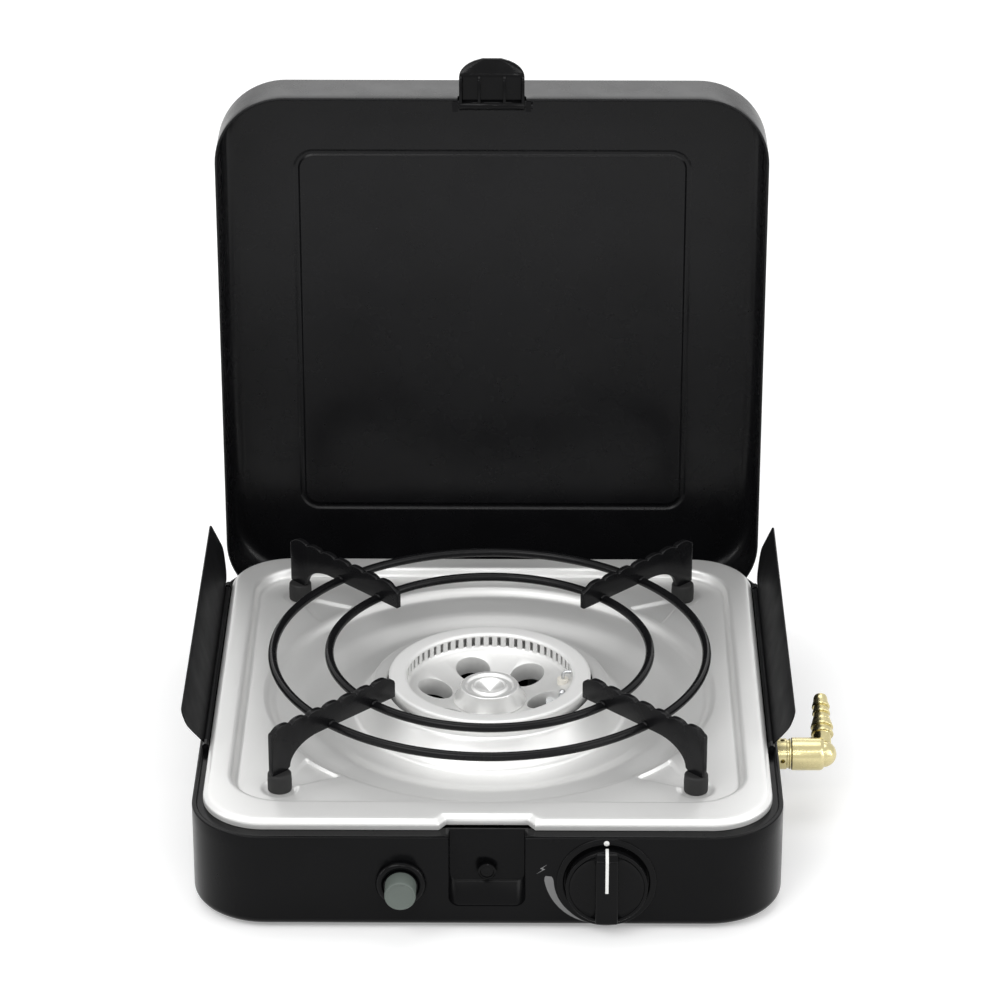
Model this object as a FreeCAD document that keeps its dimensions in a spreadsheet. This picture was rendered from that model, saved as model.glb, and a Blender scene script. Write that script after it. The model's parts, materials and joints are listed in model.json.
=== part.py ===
"""Single burner gas stove with a hinged lid, folding side windshields and a loose pan support.

Frame: millimetres, X to the right, Y to the rear, Z up. The origin is the middle of the
casing on the table. The stove is drawn as it stands open: lid upright, latch swung out.
"""
import FreeCAD
import Part
import Sketcher
import math
import os

os.makedirs("parts", exist_ok=True)
doc = FreeCAD.newDocument("gas_stove")

# Driving sizes, in millimetres and degrees.
SIZES = {
    # Casing.
    "base_width": 300,
    "base_depth": 308,
    "rim_height": 54,
    "foot_height": 2.5,
    "base_wall": 2.5,
    "base_floor": 2,
    "corner_radius": 38,
    "bottom_edge_radius": 5,
    "rear_edge_radius": 6,
    "shelf_drop": 4,
    "shelf_width": 9,
    "shelf_thickness": 2,
    "recess_width": 38.7,
    "recess_depth": 10,
    "recess_sill": 14.6,
    "recess_ramp_top": 24.5,
    "recess_skin": 1.4,
    "vent_length": 46,
    "vent_width": 5,
    "vent_pitch": 12,
    "vent_count": 5,
    "screw_radius": 1.75,
    "screw_head_radius": 3.5,
    "screw_head_height": 1.6,
    "standoff_radius": 4.5,
    "standoff_inset": 32,
    "standoff_margin": 12,
    "standoff_spread": 57,
    "table_foot_radius": 9,
    "table_foot_inset": 32,
    # Pressed cooktop.
    "rim_gap": 5.5,
    "tray_sheet": 1,
    "tray_rise": 4.5,
    "tray_edge_radius": 3,
    "recess_inset": 15,
    "recess_front_inset": 26,
    "well_depth": 5,
    "well_corner_radius": 26,
    "notch_front_width": 48,
    "notch_back_width": 39.5,
    "notch_depth": 9,
    "bowl_radius": 119,
    "bowl_step_depth": 4.5,
    "bowl_terrace_radius": 100,
    "bowl_floor_radius": 87,
    "bowl_floor_depth": 10.5,
    "collar_foot_radius": 72,
    "collar_top_radius": 62,
    "collar_rise": 4.5,
    "dimple_radius": 8.5,
    "dimple_depth": 0.8,
    "channel_depth": 1.5,
    "channel_width": 32,
    # Burner.
    "burner_offset": 3,
    "burner_hole_radius": 55,
    "burner_radius": 53,
    "burner_mouth_radius": 44.3,
    "burner_wall": 1.5,
    "burner_top": 61.5,
    "burner_bottom": 46,
    "trim_height": 1.6,
    "trim_overhang": 0.7,
    "slot_width": 1.5,
    "slot_height": 5.2,
    "slot_count": 60,
    "air_hole_radius": 9,
    "air_hole_circle": 28.5,
    "air_hole_turn": -12,
    "dish_rim_height": 54.5,
    "dish_centre_height": 48.5,
    "cap_foot_radius": 19.3,
    "cap_top_radius": 14.5,
    "cap_height": 8.5,
    "stand_leg_width": 10,
    # Pan support.
    "support_foot_circle": 150,
    "support_top": 89.5,
    "ring_height": 77,
    "ring_wire_radius": 2.35,
    "outer_ring_radius": 115,
    "inner_ring_radius": 85,
    "arm_thickness": 3,
    "arm_inner_end": 70,
    "arm_outer_end": 156,
    "arch_pitch": 11.3,
    "arch_count": 7,
    "arch_depth": 2.6,
    "pad_radius": 6.25,
    "pad_height": 10,
    # Lid and its hinge.
    "lid_depth": 37.5,
    "lid_sheet": 1.5,
    "lid_gap": 0.4,
    "lid_rear_inset": 2,
    "lid_edge_radius": 10,
    "bead_size": 216,
    "bead_width": 3,
    "bead_depth": 0.6,
    "bead_corner_radius": 9,
    "hinge_setback": 15.3,
    "hinge_drop": 16.4,
    "hinge_spacing": 170,
    "strap_width": 20,
    "strap_sheet": 1.5,
    "strap_reach": 26,
    "knuckle_radius": 4,
    "hinge_pin_radius": 2.5,
    "hinge_clearance": 0.05,
    "bracket_sheet": 1.5,
    # Latch.
    "latch_width": 35.2,
    "latch_skin": 1.6,
    "latch_plate_length": 16.5,
    "latch_lip_length": 10.5,
    "latch_lip_flare": 5,
    "latch_pivot_setback": 4.5,
    "latch_pivot_rise": 2.1,
    "latch_pin_radius": 1.25,
    "latch_barrel_radius": 2.6,
    "latch_rib_spacing": 13.6,
    "stud_height": 31,
    "stud_radius": 4.6,
    # Windshields.
    "shield_hinge_inset": 3.4,
    "shield_hinge_rise": 2.1,
    "shield_sheet": 0.8,
    "shield_height": 33.5,
    "shield_lean": 15.5,
    "shield_rear": 121,
    "shield_tail": 8,
    "shield_front_low": -60,
    "shield_front_high": -84,
    "hem_radius": 1.6,
    "hem_lift": 4,
    "rod_radius": 0.8,
    "rod_clearance": 0.05,
    # Control knob and gas valve.
    "knob_side": 60,
    "knob_height": 29,
    "bezel_radius": 24,
    "bezel_thickness": 1.2,
    "knob_radius": 20.7,
    "knob_travel": 2,
    "knob_gap": 0.2,
    "knob_skirt": 4,
    "knob_wall": 2,
    "grip_width": 10.3,
    "grip_height": 4.5,
    "grip_edge_radius": 1.2,
    "spindle_grip": 3,
    "spindle_radius": 3,
    "spindle_clearance": 0.05,
    "valve_block": 24,
    "valve_length": 33,
    "neck_radius": 6,
    "magnet_setback": 14,
    "magnet_radius": 5,
    "magnet_length": 9,
    "valve_nut_thickness": 2,
    # Gas jet and mixing tube.
    "jet_side": 36,
    "jet_setback": 44,
    "jet_cage": 20,
    "jet_holder_radius": 6,
    "jet_holder_length": 13,
    "jet_way_radius": 1.5,
    "tube_radius": 6.5,
    "tube_wall": 1,
    "tube_bend": 13,
    # Igniter.
    "igniter_side": 43.2,
    "igniter_height": 28,
    "button_radius": 7.9,
    "button_reach": 13.5,
    "button_travel": 4,
    "collar_radius": 12.7,
    "collar_thickness": 3,
    "igniter_body_radius": 9.5,
    "igniter_body_length": 38,
    # Gas inlet.
    "inlet_forward": 30,
    "inlet_height": 33,
    "union_radius": 8.2,
    "union_reach": 8.8,
    "inlet_thread_radius": 6.5,
    "swivel_radius": 8.7,
    "swivel_gap": 0.4,
    "swivel_length": 17,
    "swivel_stem_radius": 4,
    "barb_tilt": 25,
    "barb_length": 38,
    "barb_radius": 3.8,
    "barb_rib_radius": 4.8,
    "barb_rib_count": 4,
    "tail_neck_length": 15,
    "rib_pitch": 5,
    "rib_land": 1,
    "pipe_radius": 3,
    "lead_height": 14,
}

dims = doc.addObject("Spreadsheet::Sheet", "dims")
for row, (alias, size) in enumerate(SIZES.items(), start=1):
    dims.set("A%d" % row, alias)
    dims.set("B%d" % row, str(size))
    dims.setAlias("B%d" % row, alias)
doc.recompute()


def size(alias):
    """The sheet's value, for the few places that need a number and not a binding."""
    return float(getattr(dims, alias))


# Places worked out from the driving sizes, as formulas of the sheet's cells.
HALF_WIDTH = "dims.base_width / 2"
FRONT = "-dims.base_depth / 2"
REAR = "dims.base_depth / 2"
UNDERSIDE = "dims.foot_height"
FLOOR = "(dims.foot_height + dims.base_floor)"
RIM = "dims.rim_height"
SHELF = "(dims.rim_height - dims.shelf_drop)"
TRAY_TOP = "(dims.rim_height + dims.tray_rise)"
WELL = "(%s - dims.well_depth)" % TRAY_TOP
LID_RIM = "(dims.rim_height + dims.lid_gap)"
HINGE_Y = "(dims.base_depth / 2 - dims.hinge_setback)"
HINGE_Z = "(dims.rim_height - dims.hinge_drop)"
KNOB_AXIS = ("dims.knob_side", "dims.knob_height")
IGNITER_AXIS = ("-dims.igniter_side", "dims.igniter_height")
INLET_X = "dims.jet_side"
JET_Y = "(%s + dims.jet_setback)" % FRONT
LEG_CIRCLE = "(dims.burner_radius - 4)"
LEG_ANGLES = (60, 150, 250)

# Screws that come up through the floor: where they stand and how far up they reach.
STANDOFF_X = "(dims.base_width / 2 - dims.standoff_inset)"
STANDOFF_CIRCLE = "(dims.bowl_radius + dims.standoff_margin)"
STANDOFF_Y = "sqrt(max(%s^2 - %s^2; dims.standoff_spread^2))" % (STANDOFF_CIRCLE, STANDOFF_X)
STANDOFFS = [("(%d * %s)" % (side, STANDOFF_X), "(dims.burner_offset %s %s)" % (sign, STANDOFF_Y))
             for side in (-1, 1) for sign in "-+"]
HINGE_SCREWS = [("(%d * dims.hinge_spacing / 2 %s 6)" % (side, sign), HINGE_Y)
                for side in (-1, 1) for sign in "-+"]
LEG_SCREWS = [("((%s + 9) * cos(%d))" % (LEG_CIRCLE, angle),
               "(dims.burner_offset + (%s + 9) * sin(%d))" % (LEG_CIRCLE, angle)) for angle in LEG_ANGLES]
JET_SCREWS = [(INLET_X, "(%s + 14.5)" % JET_Y)]
FLOOR_SCREWS = ([(x, y, "14") for x, y in STANDOFFS]
                + [(x, y, "9") for x, y in HINGE_SCREWS + LEG_SCREWS + JET_SCREWS])


# Drawing helpers.
counter = {"made": 0}


def fresh_name(stem):
    counter["made"] += 1
    return "%s_%d" % (stem, counter["made"])


def bind(feature, **formulas):
    for name, formula in formulas.items():
        feature.setExpression(name, str(formula))


def place(feature, x="0", y="0", z="0", axis=None, angle=0):
    """Turn a feature by a fixed angle about an axis and bind where it stands."""
    if axis:
        feature.Placement = FreeCAD.Placement(
            FreeCAD.Vector(), FreeCAD.Rotation(FreeCAD.Vector(*axis), angle))
    for letter, formula in zip("xyz", (x, y, z)):
        feature.setExpression("Placement.Base." + letter, str(formula))
    return feature


def box(x0, x1, y0, y1, z0, z1):
    block = doc.addObject("Part::Box", fresh_name("box"))
    bind(block, Length="(%s) - (%s)" % (x1, x0), Width="(%s) - (%s)" % (y1, y0),
         Height="(%s) - (%s)" % (z1, z0))
    return place(block, x0, y0, z0)


TURNS = {"Z": (None, 0), "Y": ((1, 0, 0), -90), "X": ((0, 1, 0), 90)}


def cylinder(radius, length, x, y, z, along="Z"):
    """A cylinder that starts at x, y, z and runs along a positive axis."""
    rod = doc.addObject("Part::Cylinder", fresh_name("cylinder"))
    bind(rod, Radius=radius, Height=length)
    axis, angle = TURNS[along]
    return place(rod, x, y, z, axis, angle)


def cone(start_radius, end_radius, length, x, y, z, along="Z"):
    taper = doc.addObject("Part::Cone", fresh_name("cone"))
    bind(taper, Radius1=start_radius, Radius2=end_radius, Height=length)
    axis, angle = TURNS[along]
    return place(taper, x, y, z, axis, angle)


def hexagon(across, length, x, y, z, along="Z"):
    prism = doc.addObject("Part::Prism", fresh_name("hexagon"))
    prism.Polygon = 6
    bind(prism, Circumradius="(%s) / 1.732" % across, Height=length)
    axis, angle = TURNS[along]
    return place(prism, x, y, z, axis, angle)


def torus(radius, wire_radius, x, y, z):
    ring = doc.addObject("Part::Torus", fresh_name("torus"))
    bind(ring, Radius1=radius, Radius2=wire_radius)
    return place(ring, x, y, z)


def fuse(*shapes):
    joined = doc.addObject("Part::MultiFuse", fresh_name("fuse"))
    joined.Shapes = list(shapes)
    joined.Refine = True
    return joined


def cut(base, *tools):
    carved = doc.addObject("Part::Cut", fresh_name("cut"))
    carved.Base = base
    carved.Tool = tools[0] if len(tools) == 1 else fuse(*tools)
    carved.Refine = True
    return carved


def common(*shapes):
    shared = doc.addObject("Part::MultiCommon", fresh_name("common"))
    shared.Shapes = list(shapes)
    return shared


def group(*shapes):
    """Several separate solids in one node, such as a set of alike screws."""
    together = doc.addObject("Part::Compound", fresh_name("group"))
    together.Links = list(shapes)
    return together


def outline(body, plane, points, offset="0"):
    """A closed sketch of straight edges, each corner held by two bound distances."""
    sketch = body.newObject("Sketcher::SketchObject", fresh_name("outline"))
    role = plane + "_Plane"
    datum = [item for item in body.Origin.OriginFeatures if item.Role == role][0]
    sketch.AttachmentSupport = [(datum, "")]
    sketch.MapMode = "FlatFace"
    sketch.setExpression("AttachmentOffset.Base.z", offset)
    count = len(points)
    spots = [FreeCAD.Vector(math.cos(2 * math.pi * k / count), math.sin(2 * math.pi * k / count), 0)
             for k in range(count)]
    for k in range(count):
        sketch.addGeometry(Part.LineSegment(spots[k], spots[(k + 1) % count]), False)
    for k in range(count):
        sketch.addConstraint(Sketcher.Constraint("Coincident", k, 2, (k + 1) % count, 1))
    for k, corner in enumerate(points):
        for kind, formula, start in zip(("DistanceX", "DistanceY"), corner, (spots[k].x, spots[k].y)):
            index = sketch.addConstraint(Sketcher.Constraint(kind, -1, 1, k, 1, start))
            sketch.setExpression("Constraints[%d]" % index, str(formula))
    return sketch


def prism(points, plane, start, length):
    """Straight-edged outline pushed along the plane's normal: XY up, XZ to the front, YZ right."""
    body = doc.addObject("PartDesign::Body", fresh_name("prism"))
    sketch = outline(body, plane, points, start)
    pad = body.newObject("PartDesign::Pad", fresh_name("pad"))
    pad.Profile = sketch
    pad.setExpression("Length", str(length))
    body.Tip = pad
    return body


def revolved(points, x="0", y="0"):
    """Outline of radius and height turned about a vertical axis."""
    body = doc.addObject("PartDesign::Body", fresh_name("turned"))
    sketch = outline(body, "XZ", points)
    turn = body.newObject("PartDesign::Revolution", fresh_name("revolution"))
    turn.Profile = sketch
    turn.ReferenceAxis = (sketch, ["V_Axis"])
    turn.Angle = 360
    body.Tip = turn
    return place(body, x, y)


def round_edges(body, base, radius, keep):
    """Round those edges of a feature that keep() picks."""
    doc.recompute()
    names = ["Edge%d" % (k + 1) for k, edge in enumerate(base.Shape.Edges) if keep(edge)]
    rounding = body.newObject("PartDesign::Fillet", fresh_name("fillet"))
    rounding.Base = (base, names)
    rounding.setExpression("Radius", str(radius))
    body.Tip = rounding
    return rounding


def upright(edge):
    ends = [vertex.Point for vertex in edge.Vertexes]
    return len(ends) == 2 and (ends[0] - ends[1]).cross(FreeCAD.Vector(0, 0, 1)).Length < 1e-6


def at_level(level):
    """Picks the edges that lie flat at the given height."""
    def keep(edge):
        bounds = edge.BoundBox
        return abs(bounds.ZMin - level) < 1e-4 and abs(bounds.ZMax - level) < 1e-4
    return keep


def rounded_box(x0, x1, y0, y1, z0, z1, corner, foot_edge=None, top_edge=None):
    """A block with rounded upright corners and, if asked, rounded bottom or top edges."""
    corners = [(x0, y0), (x1, y0), (x1, y1), (x0, y1)]
    body = prism(corners, "XY", z0, "(%s) - (%s)" % (z1, z0))
    feature = round_edges(body, body.Tip, corner, upright)
    for edge, top in ((foot_edge, False), (top_edge, True)):
        if edge:
            doc.recompute()
            bounds = feature.Shape.BoundBox
            feature = round_edges(body, feature, edge, at_level(bounds.ZMax if top else bounds.ZMin))
    return body


parts = {}


def node(name, feature):
    feature.Label = name
    parts[name] = feature
    return feature


# Casing: a deep tub with an inner shelf for the cooktop.
def casing():
    tub = rounded_box("-" + HALF_WIDTH, HALF_WIDTH, FRONT, REAR, UNDERSIDE, RIM,
                      "dims.corner_radius", foot_edge="dims.bottom_edge_radius")
    doc.recompute()
    top = size("rim_height")
    side_line = size("base_depth") / 2 - size("corner_radius") - 0.01

    def rear_rim(edge):
        return at_level(top)(edge) and edge.BoundBox.YMin > side_line
    round_edges(tub, tub.Tip, "dims.rear_edge_radius", rear_rim)
    inner = "%s - dims.base_wall" % HALF_WIDTH
    deep = "%s - dims.base_wall" % REAR
    hollow = rounded_box("-(%s)" % inner, inner, "-(%s)" % deep, deep, FLOOR, RIM + " + 5",
                         "dims.corner_radius - dims.base_wall")
    shell = cut(tub, hollow)
    shelf_in = "%s - dims.shelf_width" % inner
    shelf_deep = "%s - dims.shelf_width" % deep
    shelf_low = "%s - dims.shelf_thickness" % SHELF
    shelf_block = rounded_box("-(%s + 0.5)" % inner, inner + " + 0.5", "-(%s + 0.5)" % deep,
                              deep + " + 0.5", shelf_low, SHELF, "dims.corner_radius - dims.base_wall + 0.5")
    shelf_hole = rounded_box("-(%s)" % shelf_in, shelf_in, "-(%s)" % shelf_deep, shelf_deep,
                             shelf_low + " - 1", SHELF + " + 1",
                             "dims.corner_radius - dims.base_wall - dims.shelf_width")
    shelf = cut(shelf_block, shelf_hole)
    half = "(dims.recess_width / 2 + dims.recess_skin)"
    pocket_back = "(%s + dims.recess_depth + dims.recess_skin)" % FRONT
    pocket_wall = box("-" + half, half, FRONT + " + 1", pocket_back,
                      "dims.recess_sill - dims.recess_skin", RIM)
    solid = fuse(shell, shelf, pocket_wall)
    return solid


def casing_cuts():
    """Everything that is taken out of the casing: latch recess, openings and vents."""
    back = "(%s + dims.recess_depth)" % FRONT
    recess = prism([("%s - 1" % FRONT, "dims.recess_sill"), ("%s + 2" % FRONT, "dims.recess_sill"),
                    (back, "dims.recess_ramp_top"), (back, RIM + " + 1"), (FRONT + " - 1", RIM + " + 1")],
                   "YZ", "-dims.recess_width / 2", "dims.recess_width")
    knob_hole = cylinder("dims.neck_radius + 0.3", "dims.base_wall + 4", KNOB_AXIS[0], FRONT + " - 2",
                         KNOB_AXIS[1], "Y")
    igniter_hole = cylinder("dims.igniter_body_radius - 0.7", "dims.base_wall + 4", IGNITER_AXIS[0],
                            FRONT + " - 2", IGNITER_AXIS[1], "Y")
    inlet_hole = cylinder("dims.inlet_thread_radius + 0.3", "dims.base_wall + 4",
                          "%s - dims.base_wall - 2" % HALF_WIDTH, "-dims.inlet_forward",
                          "dims.inlet_height", "X")
    stud_hole = cylinder("dims.stud_radius - 2.1", "20", "0", FRONT + " + 5", "dims.stud_height", "Y")
    cuts = [recess, knob_hole, igniter_hole, inlet_hole, stud_hole]
    for x, y, _ in FLOOR_SCREWS:
        cuts.append(cylinder("dims.screw_radius", "8", x, y, "0"))
    for side in (-1, 1):
        centre = "%d * dims.hinge_spacing / 2" % side
        half = "(dims.strap_width / 2 + 1)"
        cuts.append(box("%s - %s" % (centre, half), "%s + %s" % (centre, half),
                        "%s - dims.base_wall - 2.6" % REAR, REAR + " + 2",
                        "%s - dims.hinge_setback + dims.lid_rear_inset - 0.6" % HINGE_Z, RIM + " + 2"))
    for side in (-1, 1):
        for index in range(int(size("vent_count"))):
            middle = "%d * 62" % side
            y = "(%d - (dims.vent_count - 1) / 2) * dims.vent_pitch + 10" % index
            cuts.append(box("%s - dims.vent_length / 2" % middle, "%s + dims.vent_length / 2" % middle,
                            "%s - dims.vent_width / 2" % y, "%s + dims.vent_width / 2" % y,
                            UNDERSIDE + " - 1", FLOOR + " + 1"))
    return cuts


node("base_casing", cut(casing(), *casing_cuts()))


def across(points, y0, y1):
    """An outline of x and z that runs from y0 to y1."""
    return prism(points, "XZ", "-(%s)" % y1, "(%s) - (%s)" % (y1, y0))


def at_sides(value):
    return [(-1, "-(%s)" % value), (1, value)]


# Rubber table feet.
def table_feet():
    pads = []
    for _, x in at_sides("(%s - dims.table_foot_inset)" % HALF_WIDTH):
        for _, y in at_sides("(%s - dims.table_foot_inset)" % REAR):
            pads.append(cylinder("dims.table_foot_radius", UNDERSIDE, x, y, "0"))
    return group(*pads)


node("table_feet", table_feet())


# Cooktop: one pressed sheet, drawn as its upper form less the same form one sheet lower.
def bowl_tool(shift, widen):
    """The round bowl as a cutter; shift lowers it by the sheet and widen moves its walls out."""
    lip = "(%s - %s)" % (WELL, shift)
    floor = "(%s - dims.bowl_floor_depth)" % lip
    terrace = "(%s - dims.bowl_step_depth)" % lip
    collar = "(%s + dims.collar_rise)" % lip
    return revolved([
        ("0", floor + " + 40"), ("dims.bowl_radius + 4 + %s" % widen, floor + " + 40"),
        ("dims.bowl_radius + 4 + %s" % widen, lip), ("dims.bowl_radius + %s" % widen, lip),
        ("dims.bowl_radius - 4 + %s" % widen, terrace),
        ("dims.bowl_terrace_radius + %s" % widen, terrace + " - 1"),
        ("dims.bowl_floor_radius + %s" % widen, floor),
        ("dims.collar_foot_radius - %s" % widen, floor),
        ("dims.collar_top_radius - %s" % widen, collar),
        ("0", collar)], "0", "dims.burner_offset")


def pressed_form(sheet):
    """The solid under the cooktop's upper face, or under its lower face when sheet is the thickness."""
    side = "(%s - dims.rim_gap - %s)" % (HALF_WIDTH, sheet)
    deep = "(%s - dims.rim_gap - %s)" % (REAR, sheet)
    corner = "dims.corner_radius - dims.rim_gap - %s" % sheet
    top = "(%s - %s)" % (TRAY_TOP, sheet)
    low = SHELF if sheet == "0" else SHELF + " - 2"
    slab = rounded_box("-" + side, side, "-" + deep, deep, low, top, corner,
                       top_edge="dims.tray_edge_radius - %s" % sheet)
    half_back = "(dims.notch_back_width / 2 + %s)" % sheet
    half_front = "(dims.notch_front_width / 2 + %s)" % sheet
    back = "(-(%s) + dims.notch_depth + %s)" % ("%s - dims.rim_gap" % REAR, sheet)
    front = "(%s - 5)" % FRONT
    notch = prism([("-%s" % half_back, back), ("-%s" % half_front, "-(%s - dims.rim_gap)" % REAR),
                   ("-%s" % half_front, front), (half_front, front),
                   (half_front, "-(%s - dims.rim_gap)" % REAR), (half_back, back)],
                  "XY", low + " - 1", "40")
    under = cylinder("dims.bowl_radius + 3" if sheet == "0" else "dims.bowl_radius + 4", "30", "0",
                     "dims.burner_offset", "%s - dims.bowl_floor_depth - %s" % (
                         WELL, "dims.tray_sheet" if sheet == "0" else "6"))
    reach = box("-" + side, side, "-" + deep, deep, SHELF + " - 14", "%s - %s" % (WELL, sheet))
    form = cut(fuse(slab, common(under, reach)), notch)
    x_in = "(%s - dims.rim_gap - dims.recess_inset + %s)" % (HALF_WIDTH, sheet)
    y_front = "(%s + dims.rim_gap + dims.recess_front_inset - %s)" % (FRONT, sheet)
    y_back = "(%s - dims.rim_gap - dims.recess_inset + %s)" % (REAR, sheet)
    well = rounded_box("-" + x_in, x_in, y_front, y_back, "%s - %s" % (WELL, sheet), TRAY_TOP + " + 5",
                       "dims.well_corner_radius + %s" % sheet)
    tools = [well, bowl_tool(sheet, sheet)]
    for index in range(4):
        turn = 45 + 90 * index
        dimple = cylinder("dims.dimple_radius + %s" % sheet, "30",
                          "dims.support_foot_circle * cos(%d)" % turn,
                          "dims.burner_offset + dims.support_foot_circle * sin(%d)" % turn,
                          "%s - dims.dimple_depth - %s" % (WELL, sheet))
        near, far = "dims.bowl_radius - 7", "dims.support_foot_circle - 7"
        wide, slim = "dims.channel_width / 2 + %s" % sheet, "dims.channel_width / 8 + %s" % sheet
        channel = prism([(near, "-(%s)" % wide), (far, "-(%s)" % slim), (far, slim), (near, wide)],
                        "XY", "%s - dims.channel_depth - %s" % (WELL, sheet), "30")
        place(channel, "0", "dims.burner_offset", "0", (0, 0, 1), turn)
        tools += [dimple, channel]
    return cut(form, *tools)


def cooktop():
    sheet_metal = cut(pressed_form("0"), pressed_form("dims.tray_sheet"))
    hole = cylinder("dims.burner_hole_radius", "40", "0", "dims.burner_offset", SHELF + " - 14")
    return cut(sheet_metal, hole)


node("cooktop", cooktop())

# Pipes and leads: straight runs joined by quarter bends.
DIRECTIONS = {"+X": (1, 0, 0), "-X": (-1, 0, 0), "+Y": (0, 1, 0),
              "-Y": (0, -1, 0), "+Z": (0, 0, 1), "-Z": (0, 0, -1)}


def moved(point, direction, length):
    """A point shifted along a direction, as three formulas."""
    shifted = []
    for formula, step in zip(point, DIRECTIONS[direction]):
        if step:
            formula = "(%s) %s (%s)" % (formula, "+" if step > 0 else "-", length)
        shifted.append(formula)
    return tuple(shifted)


def run(radius, point, direction, length):
    """A straight round bar from a point in one of the six directions."""
    axis = direction[1]
    start = point if direction[0] == "+" else moved(point, direction, length)
    return cylinder(radius, length, *start, along=axis)


def bent_rod(radius, bend, start, moves):
    """A round bar through a list of moves, with a bend of one radius at each corner."""
    pieces = []
    here = start
    for index, (direction, length) in enumerate(moves):
        first = index == 0
        last = index == len(moves) - 1
        begin = here if first else moved(here, direction, bend)
        trims = (0 if first else 1) + (0 if last else 1)
        pieces.append(run(radius, begin, direction, "(%s) - %d * (%s)" % (length, trims, bend)))
        here = moved(here, direction, length)
        if not last:
            after = moves[index + 1][0]
            centre = moved(moved(here, {"+": "-", "-": "+"}[direction[0]] + direction[1], bend), after, bend)
            elbow = torus(bend, radius, *centre)
            elbow.Angle3 = 90
            out = FreeCAD.Vector(*DIRECTIONS[after]) * -1
            ahead = FreeCAD.Vector(*DIRECTIONS[direction])
            elbow.Placement = FreeCAD.Placement(elbow.Placement.Base,
                                                FreeCAD.Rotation(out, ahead, out.cross(ahead), "XYZ"))
            pieces.append(elbow)
    return fuse(*pieces)


# Burner.
BURNER_Y = "dims.burner_offset"
INLET_Y = "(dims.burner_offset - 33.4)"
JET_HEIGHT = "dims.knob_height"
STAND_TOP = "dims.burner_bottom"
PROBE = ("38.5", "(dims.burner_offset - 10)")
ELECTRODE = ("39", "(dims.burner_offset + 9)")


def burner_cup():
    wall = "dims.burner_wall"
    mouth = "dims.burner_mouth_radius"
    outer = "dims.burner_radius"
    body = revolved([
        ("0", "dims.dish_centre_height"), ("dims.cap_foot_radius + 0.5", "dims.dish_centre_height"),
        (mouth, "dims.dish_rim_height"), (mouth, "dims.burner_top"),
        (mouth + " + " + wall, "dims.burner_top"), (mouth + " + " + wall, "dims.burner_bottom + " + wall),
        (outer + " - " + wall, "dims.burner_bottom + " + wall), (outer + " - " + wall, "dims.burner_top"),
        (outer, "dims.burner_top"), (outer, "dims.burner_bottom"), (mouth, "dims.burner_bottom"),
        (mouth, "dims.dish_rim_height - " + wall),
        ("dims.cap_foot_radius + 0.5", "dims.dish_centre_height - " + wall),
        ("0", "dims.dish_centre_height - " + wall)])
    half = "dims.slot_width / 2"
    low = "dims.burner_top - 0.4 - dims.slot_height"
    high = "dims.burner_top - 0.4"
    sketch = outline(body, "XZ", [("-" + half, low), (half, low), (half, high), ("-" + half, high)],
                     "-(%s - 1)" % mouth)
    doc.recompute()
    before = body.Tip.Shape.Volume
    slot = body.newObject("PartDesign::Pocket", "slot")
    slot.Profile = sketch
    slot.Refine = False
    slot.setExpression("Length", wall + " + 2")
    body.Tip = slot
    doc.recompute()
    if slot.Shape.Volume > before - 1:
        raise ValueError("the slot cuts nothing")
    ring = body.newObject("PartDesign::PolarPattern", "slots")
    ring.Originals = [slot]
    ring.Axis = ([item for item in body.Origin.OriginFeatures if item.Role == "Z_Axis"][0], [""])
    ring.Angle = 360
    ring.Refine = False
    ring.setExpression("Occurrences", "dims.slot_count")
    body.Tip = ring
    place(body, "0", BURNER_Y, "0")
    boss = cylinder("8.6", "%s - 38" % STAND_TOP, INLET_X, INLET_Y, "38")
    tools = [cylinder("6.6", "6.5", INLET_X, INLET_Y, "37.5"), cylinder("2.9", "12", INLET_X, INLET_Y, "37")]
    for index in range(6):
        angle = "(dims.air_hole_turn + %d)" % (60 * index)
        tools.append(cylinder("dims.air_hole_radius", "30", "dims.air_hole_circle * cos(%s)" % angle,
                              "dims.burner_offset + dims.air_hole_circle * sin(%s)" % angle,
                              "dims.burner_bottom - 4"))
    tools.append(cylinder("2.5", "10", "0", BURNER_Y, "dims.burner_bottom - 4"))
    tools.append(cylinder("2.1", "20", PROBE[0], PROBE[1], "dims.burner_bottom - 4"))
    tools.append(cylinder("3.2", "20", ELECTRODE[0], ELECTRODE[1], "dims.burner_bottom - 4"))
    return cut(fuse(body, boss), *tools)


def burner_ring():
    top = "dims.burner_top"
    crest = "(dims.burner_top + dims.trim_height)"
    return revolved([("dims.burner_mouth_radius", top), ("dims.burner_radius + dims.trim_overhang", top),
                     ("dims.burner_radius + dims.trim_overhang", top + " + dims.trim_height / 2"),
                     ("dims.burner_radius", crest), ("dims.burner_mouth_radius + 1.5", crest),
                     ("dims.burner_mouth_radius", top + " + dims.trim_height / 2")], "0", BURNER_Y)


def burner_cap():
    low = "dims.dish_centre_height"
    top = "(dims.dish_centre_height + dims.cap_height)"
    return revolved([("0", low + " - 6"), ("2.4", low + " - 6"), ("2.4", low), ("dims.cap_foot_radius", low),
                     ("dims.cap_foot_radius", low + " + 1"), ("dims.cap_top_radius", top),
                     ("dims.cap_top_radius - 3", top), ("dims.cap_top_radius - 4", top + " - 1"),
                     ("dims.cap_top_radius - 6", top + " - 1"), ("dims.cap_top_radius - 7", top),
                     ("dims.cap_top_radius - 9", top), ("0", top + " - 2")], "0", BURNER_Y)


def cap_nut():
    low = "dims.dish_centre_height - dims.burner_wall"
    return cut(hexagon("9", "3.4", "0", BURNER_Y, low + " - 3.4"),
               cylinder("2.4", "6", "0", BURNER_Y, low + " - 5"))


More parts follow.
